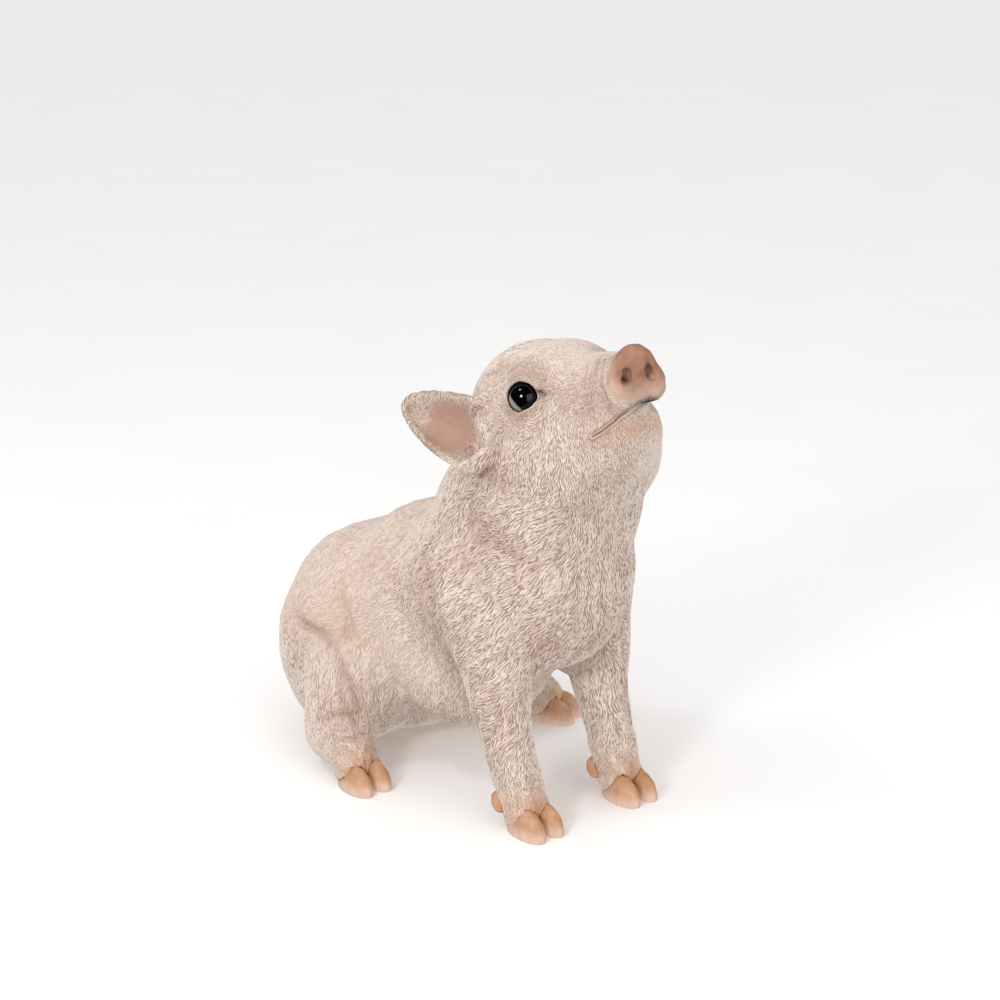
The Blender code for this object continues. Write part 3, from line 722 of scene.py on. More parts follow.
def rim_share(points):
    """1 at the rear edge of the snout's disc, 0 on its face."""
    return snout_share(points) * (1 - ease((points @ SNOUT_NORMAL - SNOUT_RIM) / RIM_WIDTH))


def beside_mouth(points):
    """How far each point is to the side of the mouth's line, whatever its depth in the groove."""
    found = np.full(len(points), FAR)
    for line, facing in zip(MOUTH_LINES, MOUTH_FACING):
        near = np.flatnonzero(np.linalg.norm(points - line.mean(0), axis=1) < MOUTH_SPAN)
        for index, (start, end) in enumerate(zip(line[:-1], line[1:])):
            step = end - start
            share = np.clip((points[near] - start) @ step / (step @ step), 0, 1)
            offset = points[near] - start - share[:, None] * step
            outward = facing[index] + share[:, None] * (facing[index + 1] - facing[index])
            outward /= np.linalg.norm(outward, axis=1)[:, None]
            rise = (offset * outward).sum(1)
            aside = np.linalg.norm(offset - rise[:, None] * outward, axis=1)
            aside[np.abs(rise + GROOVE_MIDDLE) > GROOVE_REACH] = FAR
            found[near] = np.minimum(found[near], aside)
    return found


def nostril_share(offsets):
    """1 in the pit of a nostril, for offsets in millimetres from the middle of its opening."""
    deep = offsets @ SNOUT_NORMAL
    flat = offsets - deep[:, None] * SNOUT_NORMAL
    upright = (flat[:, 1] ** 2 + flat[:, 2] ** 2) / NOSTRIL_HALF_HEIGHT**2
    size = (deep / NOSTRIL_DEPTH) ** 2 + (flat[:, 0] / NOSTRIL_HALF_WIDTH) ** 2 + upright
    return np.exp(-(size**NOSTRIL_EDGE))


print("snout:", int((snout_share(places) > 0.5).sum()), "of the skin's points on its smooth disc")

# %% Dark lines
# Millimetres past the ball to which the lids' edge is dark, and the softness of that border
LID_LINE, LID_LINE_SOFT = 0.55, 0.4
# How dark the mouth is, how far to its side the dark goes and how softly it ends, in millimetres
MOUTH_DARK, MOUTH_LINE, MOUTH_LINE_SOFT = 0.7, 0.42, 0.32
EYE_CORNER_DARK = 0.9
EYE_CORNER = ((-16.9, -50.0, 142.9), (1.4, 2.5, 0.9))
# The gap under the snout's disc: the mouth's dark paint and painted shade where the disc overhangs
# the lip
LIP_GAP_PAINT_AND_SHADE = ((1.0, -78.2, 142.6), (5.0, 2.6, 1.3))
HAIRLINES = 0.9  # how dark the lines between the hairs are at most
# The belly's paler hairlines are painted light, for the glow of the white paper under it
REAR_PALER, BROW_PALER, PAINTED_BELLY_LIGHT = 0.45, 0.55, 0.4
BROW = ((MIDDLE, -46, 154), (17, 20, 10))
BELLY = ((5, 40), (26, 18))  # seen from the side: along the body and up


def dark_paint_and_shade(points):
    """1 where the painter used almost black brown: lid edges, mouth, nostrils, the eye's corner; in
    the gap under the snout's disc that paint and painted shade.
    """
    right = np.where(points[:, :1] < MIDDLE, points, mirrored(points))
    lid_edge = ease((EYE_BALL + LID_LINE - eye_distance(points)) / LID_LINE_SOFT)
    corner = EYE_CORNER_DARK * dab(right, *EYE_CORNER)
    mouth = MOUTH_DARK * ease((MOUTH_LINE - beside_mouth(points)) / MOUTH_LINE_SOFT)
    gap_paint_and_shade = dab(points, *LIP_GAP_PAINT_AND_SHADE)
    pits = [nostril_share(points - place) for place in NOSTRILS]
    return np.clip(np.maximum.reduce([lid_edge, corner, mouth, gap_paint_and_shade, *pits]), 0, 1)


def rear_share(points):
    """1 on the back half of the body above the hind feet, 0 at the shoulders."""
    return ease((points[:, 1] + 5) / 35) * ease((points[:, 2] - 30) / 25)


def line_strength(points):
    """How dark the painter left the hairlines: least on the forehead and the back; paler on the
    belly as painted light from the paper below.
    """
    rear = 1 - REAR_PALER * rear_share(points)
    brow = 1 - BROW_PALER * dab(points, *BROW)
    return HAIRLINES * rear * brow * (1 - PAINTED_BELLY_LIGHT * dab(points[:, 1:], *BELLY))


print("hairlines:", round(float(line_strength(places).mean()), 2), "of full strength on average")

# %% Every mark together
EAR_FACING = np.array((-0.646, -0.677, 0.353))
CUP_PLACE, CUP_RADII = np.array((-29.0, -21.0, 128.0)), (8.5, 7.5, 9.0)
# Mottling: the paint's level, how much it varies, the size of its patches in mm and their seed
PINK_MOTTLE = (0.8, 0.35, 4, 1)
TAN_MOTTLE = (0.85, 0.3, 2.5, 4)
# Stray paint outside the patches: how much, the size of its clouds in millimetres and their seed
STRAY_PINK = (0.16, 9, 2)
STRAY_WASH = (0.12, 6, 3)
REAR_TAN = 0.12
# Painted shade: how much the wash mark darkens skin that faces down
UNDERSIDE_SHADE = 0.3


def cup_share(points, normals):
    """1 inside the cup of an ear, where the casting is smooth."""
    share = np.zeros(len(points))
    for centre, facing in (
        (CUP_PLACE, EAR_FACING),
        (mirrored(CUP_PLACE), EAR_FACING * (-1, 1, 1)),
    ):
        apart = (((points - centre) / CUP_RADII) ** 2).sum(1)
        inwards = ease((normals @ facing - 0.35) / 0.3)
        share = np.maximum(share, ease((1.3 - apart) / 0.9) * inwards)
    return share


def mottled(points, level, varies, size, seed):
    """A level of paint that varies a little from patch to patch."""
    return level + varies * swirl(points, size, seed)


def stray(points, amount, size, seed):
    """A little paint in soft clouds, with bare places between them."""
    return amount * ease(swirl(points, size, seed))


def fold_wash(points):
    """The brown wash that has run into the folds, a little wider than they are."""
    wash = np.zeros(len(points))
    for line, width, _, strength in fold_lines():
        inside, apart = near_line(points, line, 4 * width + 2)
        stain = strength * np.exp(-((apart / (1.5 * width + 0.4)) ** 2))
        stain *= end_fade(points[inside], line, width)
        wash[inside] = np.maximum(wash[inside], stain)
    return wash


def paint_at(points, normals):
    """Every mark of the paint at these points, which are in millimetres."""
    blush = patches(points, BLUSH) * mottled(points, *PINK_MOTTLE) + stray(points, *STRAY_PINK)
    # Skin that faces down takes more of the wash mark: painted shade, added to the brown wash
    underside_shade = ease((-normals[:, 2] - 0.4) / 0.5)
    wash = fold_wash(points) + UNDERSIDE_SHADE * underside_shade + stray(points, *STRAY_WASH)
    tan = patches(points, TAN) * mottled(points, *TAN_MOTTLE) + REAR_TAN * rear_share(points)
    blush, wash, tan = (np.clip(amount, 0, 1) for amount in (blush, wash, tan))
    return {
        "blush": blush,
        "wash": wash,
        "tan": tan,
        "snout": snout_share(points),
        "cup": cup_share(points, normals),
        "rim": rim_share(points),
        "liner": dark_paint_and_shade(points),
        "lines": line_strength(points),
    }


paint = paint_at(places, normals)
print("paint:", {name: round(float(v.mean()), 3) for name, v in paint.items()})

# %% [markdown]
# ## Hollows
# Thin brown paint gathers wherever the form is hollow, at any size. A copy of the points that is
# averaged with its neighbours many times shows what is hollow: there the averaged surface stands
# above the real one.

# %% Finding the hollows
HOLLOW_ROUNDS = (12, 70)
HOLLOW_REACH = (0.10, 0.45)  # millimetres between the two surfaces that count as fully hollow
HOLLOW_SHARE = 0.6  # what each of the two sizes of hollow counts for
HOLLOW_WASH = 0.6


def hollows(obj, places, normals):
    """0 on bulges and plain skin, up to 1 in the hollows."""
    count = len(places)
    first, second = numbers_of(obj.data.edges, "vertices", 2, np.int64).T
    neighbours = np.bincount(first, minlength=count) + np.bincount(second, minlength=count)
    averaged, found = places.copy(), np.zeros(count)
    for step in range(1, HOLLOW_ROUNDS[-1] + 1):
        total = np.empty_like(averaged)
        for axis in range(3):
            total[:, axis] = np.bincount(first, averaged[second, axis], count)
            total[:, axis] += np.bincount(second, averaged[first, axis], count)
        averaged = total / neighbours[:, None]
        if step in HOLLOW_ROUNDS:
            height = ((averaged - places) * normals).sum(1)
            found += HOLLOW_SHARE * ease(height / HOLLOW_REACH[HOLLOW_ROUNDS.index(step)])
    return np.clip(found, 0, 1)


hollow = hollows(skin, places, normals)
paint["wash"] = np.clip(paint["wash"] + HOLLOW_WASH * hollow, 0, 1)
print("hollow share", round(float(hollow.mean()), 3))

# %% [markdown]
# ## The lie of the hair
# Hair lies back from the snout over the face, arches round the eyes, hangs down the cheeks and
# throat and sweeps back along the sides. Each row below is one stroke read off the figure: where
# it is, which way it points, and which way the skin faces there. Between the strokes the
# direction is their average, with near ones counting most, and the left side gets the mirrored
# strokes.

# %% Strokes of hair
STROKES = (
    # x, y, z in millimetres, then the direction, then the way that the skin faces
    (-29.2, -30.9, 110.2, 0.45, 0.64, -0.62, -0.9, 0, -0.3),
    (-26.7, -43.5, 105.9, -0.12, 0.73, -0.67, -1, 0, 0.1),
    (-24.2, -53.7, 106.8, -0.33, 0.69, -0.64, -0.9, -0.5, -0.1),
    (-20.1, -58.4, 103.1, -0.6, 0.65, -0.47, -0.7, -0.7, -0.2),
    (-16.9, -65.8, 112.5, 0.15, 0.41, -0.9, -0.4, -0.8, -0.4),
    (-21.4, -64.3, 117.5, 0.1, 0.17, -0.98, -0.8, -0.6, -0.2),
    (-9, -70.9, 117.4, 0.26, 0.35, -0.9, -0.3, -0.9, -0.4),
    (7.5, -63.6, 98.6, 0.08, 0.21, -0.98, 0.2, -1, -0.2),
    (-2.8, -62.8, 91.9, -0.19, 0.31, -0.93, -0.1, -1, -0.2),
    (-11.8, -60.1, 88.6, -0.51, 0.34, -0.79, -0.3, -0.9, -0.1),
    (-17.4, -56.6, 85.5, -0.6, 0.39, -0.7, -0.5, -0.8, -0.1),
    (-25.5, -48.3, 85, -0.48, 0.68, -0.56, -0.8, -0.6, 0),
    (-28.2, -40.1, 88, -0.25, 0.79, -0.56, -1, -0.1, 0.2),
    (-31.4, -34.6, 77.4, -0.27, 0.69, -0.67, -1, -0.2, 0.2),
    (-30.2, -42.2, 69, -0.46, 0.63, -0.63, -0.9, -0.4, 0),
    (-22.8, -51.8, 76.1, -0.52, 0.61, -0.6, -0.7, -0.7, -0.1),
    (-17.3, -56.3, 74.1, -0.42, 0.39, -0.82, -0.5, -0.9, -0.1),
    (-12.7, -58.1, 71.2, -0.36, 0.34, -0.87, -0.3, -0.9, -0.2),
    (-4.9, -61, 77.1, -0.39, 0.1, -0.91, -0.2, -1, -0.1),
    (4.1, -61.4, 83.4, -0.13, 0.01, -0.99, 0.2, -1, -0.2),
    (-11.2, -52.9, 58.1, -0.18, 0.63, -0.75, -0.3, -0.8, -0.6),
    (-27.4, -43.2, 54, -0.58, 0.5, -0.64, -0.7, -0.7, -0.1),
    (-23, -46.5, 46.7, -0.66, 0.11, -0.74, -0.2, -1, 0),
    (-22.5, -12.5, 34.3, 0.06, 0.48, -0.87, -0.7, -0.5, -0.4),
    (-28.1, -12.1, 45, 0.1, 0.6, -0.79, -0.9, -0.2, -0.3),
    (-32.2, -36.7, 62.9, -0.2, 0.75, -0.63, -0.8, -0.5, 0.4),
    (-33.9, -20, 80.4, -0.36, 0.65, -0.67, -1, -0.2, 0.2),
    (14.5, -45.9, 42.7, -0.09, 0.1, -0.99, -0.6, -0.8, 0),
    (21.5, -47.6, 39.3, 0.02, -0.07, -1, 0.2, -1, 0.1),
    (-29.4, 38.1, 68.8, -0.69, 0.38, -0.62, -0.7, 0, 0.7),
    (-26.6, 22.7, 74.9, -0.38, 0.67, -0.63, -0.8, 0.1, 0.6),
    (-34.4, 42.9, 62.6, -0.54, 0.39, -0.75, -0.5, 0.2, 0.8),
    (-35.6, 35.9, 60.5, -0.5, 0.2, -0.84, -0.9, -0.1, 0.5),
    (-38.9, 36.7, 53.1, -0.25, 0.92, -0.3, -0.9, -0.2, 0.4),
    (-30.6, 4.6, 70.5, -0.04, 0.68, -0.73, -1, 0.1, 0.3),
    (-32.9, 14.2, 59.2, -0.22, 0.71, -0.66, -1, -0.1, 0.2),
    (-33.8, -11.6, 67.3, 0.2, 0.69, -0.7, -1, 0.1, 0),
    (-31.3, -21.9, 86.7, -0.39, 0.51, -0.77, -0.9, -0.2, 0.3),
    (-27.2, -20.8, 100.3, -0.17, 0.37, -0.91, -0.9, 0.1, 0.3),
    (-32, -31.6, 76.2, -0.34, 0.72, -0.6, -1, -0.1, 0.1),
    (-44.4, 31.2, 40.7, -0.41, -0.28, -0.87, -0.9, 0, 0.5),
    (-43.5, 41.8, 38.6, -0.1, 0.38, -0.92, -1, 0.1, 0.2),
    (-38, 18.5, 40.1, -0.47, 0.09, -0.88, -0.6, -0.8, 0.2),
    (-19, 19, 82.9, -0.69, 0.51, -0.51, -0.6, 0.1, 0.8),
    (-47.1, 31.6, 30.9, -0.18, 0.02, -0.98, -1, 0.1, 0.2),
    (-45.7, 22.5, 29.5, -0.3, 0.02, -0.95, -0.8, -0.5, 0.3),
    (-42.6, 19, 26.7, -0.6, -0.04, -0.8, -0.4, -0.9, 0.2),
    (-49.7, 30, 16.6, -0.16, -0.5, -0.85, -1, 0.1, 0.2),
    (-49.6, 22.5, 14.5, -0.14, -0.27, -0.95, -1, -0.2, 0),
    (-47.2, 13.4, 13.3, -0.26, -0.89, -0.37, -0.4, -0.3, 0.9),
    (-41.7, 10.5, 13.6, -0.15, -0.85, -0.5, 0, -1, 0.1),
    (-27.3, 11.1, 28.2, -0.1, 0.57, -0.82, -0.8, -0.5, -0.3),
    (-21.2, -12.4, 32.2, 0.18, 0.44, -0.88, -0.7, -0.6, -0.5),
    (-32.7, 15.6, 21.4, -0.14, 0.06, -0.99, 0.1, -1, 0),
    (-27.6, -43.6, 47.7, -0.55, 0.49, -0.68, -0.6, -0.8, 0),
    (-22.4, -46.7, 45.2, -0.69, 0.07, -0.73, 0, -1, 0),
    (-29.5, -39.9, 38.7, -0.09, 0.69, -0.72, -1, -0.2, -0.1),
    (-26.4, -45.6, 33.3, -0.47, 0.26, -0.84, -0.6, -0.8, 0.1),
    (-21.2, -48.5, 30.2, -0.55, -0.22, -0.8, 0, -1, 0.3),
    (-28.2, -44, 21.6, -0.06, 0.48, -0.88, -1, -0.1, 0.1),
    (-25.2, -50.5, 21.1, -0.39, -0.1, -0.91, -0.5, -0.8, 0.2),
    (-21, -51.4, 22.4, -0.18, -0.38, -0.9, 0, -1, 0.3),
    (-27.3, -52.4, 10.9, -0.13, -0.23, -0.97, -0.8, -0.5, 0.1),
    (-21.4, -55.5, 8.5, 0.26, -0.15, -0.95, -0.7, -0.6, 0.3),
    (-28.4, -44.6, 10.8, 0.12, -0.32, -0.94, -0.8, -0.5, 0),
    (17.5, -47.2, 38, -0.13, -0.05, -0.99, -0.3, -0.9, 0.1),
    (10.9, -39.7, 39.3, 0.23, -0.51, -0.83, -0.9, -0.3, -0.2),
    (14.3, -48.8, 20.3, -0.38, 0.1, -0.92, -0.7, -0.7, 0.2),
    (17.9, -52.6, 18.3, -0.09, -0.35, -0.93, -0.3, -0.9, 0.4),
    (13.2, -52.5, 9.6, -0.15, -0.28, -0.95, -0.8, -0.6, 0),
    (15.5, -56.7, 9.1, -0.18, -0.65, -0.74, -0.7, -0.6, 0.4),
    (-9.3, -54.2, 152.5, -0.53, 0.82, -0.24, -0.6, 0, 0.8),
    (-15.7, -49.1, 147.4, 0.01, 0.87, 0.49, -0.8, -0.3, 0.5),
    (-16, -43.3, 149, -0.11, 0.99, 0.02, -0.6, 0, 0.8),
    (-17, -37.7, 147.7, -0.23, 0.86, -0.45, -0.6, 0.1, 0.8),
    (-19.1, -34.9, 144.5, -0.6, 0.09, -0.79, -0.8, 0, 0.6),
    (-14, -49.1, 149.5, -0.03, 0.93, 0.37, -0.7, -0.2, 0.7),
    (-13.9, -41, 150.3, 0.04, 1, -0.08, -0.6, 0, 0.8),
    (-15, -33.2, 148.7, -0.38, 0.84, -0.39, -0.6, 0.1, 0.8),
    (-8.4, -26.6, 150.5, -0.48, 0.76, -0.44, -0.4, 0.3, 0.9),
    (-5.4, -37.9, 154.2, -0.23, 0.94, -0.23, -0.3, 0.1, 1),
    (-15.1, -23.6, 144.9, -0.28, 0.64, -0.72, -0.6, 0.5, 0.6),
    (-22.5, -34.3, 138.8, -0.38, 0.5, -0.78, -0.9, -0.3, 0.3),
    (-12.2, -58.5, 148, -0.36, 0.84, -0.4, -0.9, -0.2, 0.4),
    (-9.2, -69, 150.8, -0.39, -0.03, -0.92, -0.9, 0, 0.3),
    (-10.2, -70.2, 145.8, 0.07, -0.47, -0.88, -0.9, -0.3, 0.1),
    (-8.8, -73.1, 142.1, 0.5, -0.67, -0.55, -0.8, -0.6, 0),
    (-12.8, -63.3, 143.5, -0.37, 0.63, -0.69, -0.9, -0.2, 0.3),
    (-15.7, -58.6, 140.9, -0.61, 0.02, -0.79, -0.8, -0.3, 0.5),
    (-22.1, -49.1, 135.5, -0.23, 0.91, -0.35, -0.9, 0, 0.5),
    (-23.3, -42.5, 133.8, -0.07, 0.99, -0.1, -1, 0, 0.3),
    (-22, -59.3, 132, -0.39, -0.21, -0.9, -0.8, -0.4, 0.4),
    (-16.9, -66.9, 132.7, -0.32, -0.14, -0.94, -0.8, -0.5, 0.4),
    (-2.8, -77.2, 135.5, 0.01, -0.12, -0.99, -0.1, -1, 0),
    (5.3, -76.2, 133, -0.08, -0.17, -0.98, 0.3, -0.9, 0.1),
    (-15.4, -70, 124.5, 0.04, 0.08, -1, -0.7, -0.8, 0),
    (-2.2, -72.9, 117.7, 0.39, 0.44, -0.81, -0.1, -0.9, -0.5),
    (-25.6, -54.8, 122.9, -0.08, 0.25, -0.97, -1, -0.2, 0.1),
    (-25.6, -41, 120, -0.09, 0.43, -0.9, -0.9, -0.2, -0.3),
    (-25.2, -45.9, 125.4, -0.07, 0.4, -0.91, -1, 0.2, 0.2),
    (-27.6, -36.2, 113.8, 0.26, 0.59, -0.76, -0.7, -0.7, 0),
    (-20.5, -61.4, 110.7, -0.24, 0.72, -0.65, -0.7, -0.6, -0.3),
    (-26.6, -46.6, 108.5, -0.21, 0.61, -0.76, -1, -0.1, 0),
    (-10.2, -73.5, 137.3, -0.33, -0.1, -0.94, -0.7, -0.7, 0.2),
    (-21, -63.2, 129.6, -0.28, -0.18, -0.94, -0.8, -0.5, 0.3),
    (7.4, -71.1, 116.6, 0.45, 0.52, -0.72, 0.2, -0.8, -0.5),
    (-33.9, -15, 137.5, -0.08, 0.48, -0.88, -0.7, -0.7, -0.2),
    (-35.8, -11.8, 133, 0.68, -0.21, -0.7, -0.2, -1, 0),
    (-29.8, -20.3, 136.5, 0.16, 0.45, -0.88, -0.8, -0.5, -0.3),
    (-29.4, -23.6, 121.5, -0.33, -0.65, -0.68, -0.3, -0.6, 0.7),
    (-23.9, -27.1, 123.2, 0.04, -0.77, -0.64, -0.8, -0.5, 0.4),
    (-35.3, -16.7, 125.8, 0.93, 0.29, 0.21, -0.2, -0.7, 0.7),
    (0, -62, 156, 0, 0.95, 0.1, 0, -0.2, 1),
    (0, -45, 157, 0, 1, 0.1, 0, 0, 1),
    (0, -28, 154, 0, 0.85, -0.4, 0, 0.3, 1),
    (0, -14, 145, 0, 0.5, -0.85, 0, 0.8, 0.5),
    (0, -9, 125, 0, 0.2, -1, 0, 1, 0.1),
    (0, -3, 108, 0, 0.5, -0.85, 0, 0.8, 0.5),
    (0, 15, 93, 0, 0.85, -0.5, 0, 0.4, 0.9),
    (0, 35, 86, 0, 0.9, -0.4, 0, 0.4, 0.9),
    (0, 58, 72, 0, 0.6, -0.8, 0, 0.8, 0.6),
    (0, 74, 45, 0, 0.1, -1, 0, 1, 0.1),
    (-20, 66, 55, -0.3, 0.4, -0.85, -0.5, 0.8, 0.3),
    (-26, 62, 25, -0.1, 0.2, -1, -0.5, 0.8, 0),
    (-36, 52, 25, -0.1, 0.1, -1, -0.9, 0.4, 0),
    (-12, 70, 15, 0, 0.1, -1, 0, 1, -0.2),
    (0, 0, 22, 0, 1, 0, 0, 0, -1),
    (0, -25, 35, 0, 0.9, -0.3, 0, -0.3, -1),
    (0, -50, 52, 0, 0.5, -0.85, 0, -0.6, -0.8),
    (-12, -42, 38, 0.05, 0.1, -1, 1, 0, 0),
    (-21, -28, 38, 0, -0.1, -1, 0, 1, 0),
    (-12, -46, 20, 0, 0, -1, 1, 0, 0),
    (-22, -33, 18, 0, -0.2, -1, 0, 1, 0),
    (-28, 24, 20, 0, -0.2, -1, 1, -0.3, 0),
    (-36, 8, 9, 0.1, -0.6, -0.7, 1, 0, 0),
    (-16, -12, 128, -0.3, 0.6, -0.7, -0.4, 0.9, 0.1),
    (-30, -14, 131, -0.6, 0.7, -0.2, 0.5, 0.8, 0.2),
    (-33, -19, 122, -0.5, 0.5, -0.7, 0.3, 0.6, -0.6),
    (-22, -20, 112, -0.2, 0.5, -0.8, -0.6, 0.8, 0),
    (-22, 0, 88, -0.3, 0.7, -0.6, -0.7, 0.3, 0.7),
    (-10, 20, 91, -0.2, 0.85, -0.5, -0.3, 0.3, 0.9),
    (-12, 45, 80, -0.3, 0.75, -0.55, -0.4, 0.4, 0.8),
    (-5, 78, 52, 0.7, 0, -0.6, 0, 1, 0),
)
strokes = np.array(STROKES, float)
other_side = strokes * (-1, 1, 1, -1, 1, 1, -1, 1, 1)
other_side[:, 0] += 2 * MIDDLE
strokes = np.concatenate([strokes, other_side])
print("strokes", len(strokes))

# %% The direction between the strokes
AT_ONCE = 20_000  # points worked out together, which keeps the memory small
STROKE_CORE = 6.0  # square millimetres within which a stroke's say hardly grows
STROKE_FADE = 2.5  # the power by which its say falls with the square of the distance
# A stroke on skin that faces another way, as across an ear, has little say: never less than this
LEAST_SAY, FACING_SLACK = 0.02, 0.25


def lie_of_hair(points, facing):
    """The unit direction of the hair at each point, along the skin."""
    found = np.empty_like(points)
    for start in range(0, len(points), AT_ONCE):
        part = slice(start, start + AT_ONCE)
        squared = (
            (points[part] ** 2).sum(1)[:, None]
            + (strokes[:, :3] ** 2).sum(1)
            - 2 * points[part] @ strokes[:, :3].T
        )
        agree = np.clip(facing[part] @ strokes[:, 6:].T, -1, 1)
        weight = np.clip(agree + FACING_SLACK, LEAST_SAY, 1)
        weight /= (squared + STROKE_CORE) ** STROKE_FADE
        found[part] = weight @ strokes[:, 3:6] / weight.sum(1)[:, None]
    found -= facing * (found * facing).sum(1)[:, None]
    return found / np.maximum(np.linalg.norm(found, axis=1), 1e-6)[:, None]


crown_way = lie_of_hair(np.array([(MIDDLE, -45.0, 157.0)]), np.array([(0.0, 0.0, 1.0)]))
print("hair on the crown points to", crown_way.round(2).tolist())

# %% [markdown]
# ## An unwrap of the skin
# Each hair takes its place on a texture from the skin under its root, so the skin is unwrapped
# first, by its own shape. Smart UV Project cuts it where it turns.

# %% Unwrapping
only(skin)
bpy.ops.object.mode_set(mode="EDIT")
bpy.ops.mesh.select_all(action="SELECT")
bpy.ops.uv.smart_project(angle_limit=radians(72), island_margin=0.002)
bpy.ops.object.mode_set(mode="OBJECT")
skin.data.uv_layers[0].name = "OFBake"
print("unwrapped", len(skin.data.loops), "corners")

# %% [markdown]
# ## Carved hair
# The hair is carved in the mould as short wavy ridges, about half a millimetre apart. A bump
# texture can't follow such a lie, so each hair is a thin mesh strip: it starts as a point sunk in
# the skin, rises to a ridge with both edges under the skin, and ends in a sunk point. There are
# far too many to set by hand, so they are made as arrays, in a few pieces of many hairs each.
# Ridges that a carver cuts side by side never cross, so the roots are chosen to keep apart: a
# little across the hair and a lot along it.

# %% Where hairs could grow
CANDIDATES = 460_000
MUZZLE = (MIDDLE, -79, 150)
FACE_HAIR, FOOT_HAIR, EYE_HAIR, EAR_HAIR = 0.55, 0.62, 0.5, 0.6  # sizes, with the body's as 1
# Millimetres of bare skin round the ball and beside the mouth, and how softly they end
BARE_EYE, BARE_EYE_SOFT = 1.1, 0.5
BARE_LIPS, BARE_LIPS_SOFT = 0.85, 0.3
rng = np.random.default_rng(16)


def hair_size(points):
    """How large the hairs are at each point: 1 on the body, smaller on the face, ears and feet."""
    from_muzzle = np.linalg.norm(points - MUZZLE, axis=1)
    face = FACE_HAIR + (1 - FACE_HAIR) * ease((from_muzzle - 12) / 46)
    foot = FOOT_HAIR + (1 - FOOT_HAIR) * ease((points[:, 2] - 8) / 24)
    ears = np.abs(points[:, 0] - MIDDLE) > 24.5
    ears &= (points[:, 2] > 112) & (points[:, 1] > -34)
    eye = EYE_HAIR + (1 - EYE_HAIR) * ease((eye_distance(points) - 6) / 16)
    return np.minimum.reduce([face, foot, eye, np.where(ears, EAR_HAIR, 1.0)])


def bare_share(points):
    """1 where the casting is smooth: snout, lids and lips."""
    lids = ease((EYE_BALL + BARE_EYE - eye_distance(points)) / BARE_EYE_SOFT)
    lips = ease((BARE_LIPS - beside_mouth(points)) / BARE_LIPS_SOFT)
    return np.maximum.reduce([snout_share(points), lids, lips])


triangles = numbers_of(skin.data.polygons, "vertices", 3, np.int64)
corners = numbers_of(skin.data.uv_layers["OFBake"].data, "uv", 2, np.float32).reshape(-1, 3, 2)
a, b, c = (places[triangles[:, i]] for i in range(3))
area = np.linalg.norm(np.cross(b - a, c - a), axis=1) / 2
middle = (a + b + c) / 3
bare = bare_share(places)
weight = area * (bare[triangles].mean(1) < 0.5) / hair_size(middle) ** 2
cumulative = np.cumsum(weight)
draws = (np.arange(CANDIDATES) + rng.random(CANDIDATES)) * cumulative[-1] / CANDIDATES
root_face = np.minimum(np.searchsorted(cumulative, draws), len(triangles) - 1)
mix = rng.dirichlet((1, 1, 1), CANDIDATES)
roots = (places[triangles[root_face]] * mix[:, :, None]).sum(1)
facing = (normals[triangles[root_face]] * mix[:, :, None]).sum(1)
facing /= np.linalg.norm(facing, axis=1)[:, None]
print("skin area", round(float(area.sum())), "mm2,", CANDIDATES, "places for a root")

# %% Keeping the hairs apart
HAIR_PITCH = (0.235, 1.65)  # millimetres between hairs, across and along
MOST_HAIRS = 120_000
apart_across, apart_along = HAIR_PITCH
squeeze = (apart_along / apart_across) ** 2  # turns the flat ellipse round a hair into a circle
lie = lie_of_hair(roots, facing)
sizes = hair_size(roots)
spots, ways, reaches = roots.tolist(), lie.tolist(), (sizes * apart_along).tolist()
crowd = KDTree(CANDIDATES)
for index, root in enumerate(spots):
    crowd.insert(root, index)
crowd.balance()
taken = bytearray(CANDIDATES)
kept = []
for index in rng.permutation(CANDIDATES).tolist():
    x, y, z = spots[index]
    u, v, w = ways[index]
    reach = reaches[index]
    limit = reach * reach
    for (px, py, pz), other, distance in crowd.find_range((x, y, z), reach):
        if taken[other]:
            along = (px - x) * u + (py - y) * v + (pz - z) * w
            if along * along + squeeze * (distance * distance - along * along) < limit:
                break
    else:
        taken[index] = 1
        kept.append(index)
chosen = np.array(sorted(kept[:MOST_HAIRS]))
print("hairs kept apart:", len(chosen))

# %% Tracing each hair over the skin
STATIONS = 5
HAIR_LENGTH = 3.1  # millimetres on the body
SIZE_SPREAD, LENGTH_SPREAD = (0.85, 1.15), (0.75, 1.25)
ASTRAY = 0.07  # radians by which single hairs leave the lie
WAVINESS = (
    # how far in radians the hairs swing together, over how many millimetres, and a seed
    (0.26, 2.2, 5),
    (0.16, 6, 6),
)
MOST_BARE = 0.6  # a hair that reaches barer skin than this is left out
ground = BVHTree.FromObject(skin, bpy.context.evaluated_depsgraph_get())


def onto_skin(points):
    """The nearest places on the skin, and its normals there, for points in millimetres."""
    hits = [ground.find_nearest(point) for point in (points * MM).tolist()]
    return np.array([hit[0] for hit in hits]) / MM, np.array([hit[1] for hit in hits])


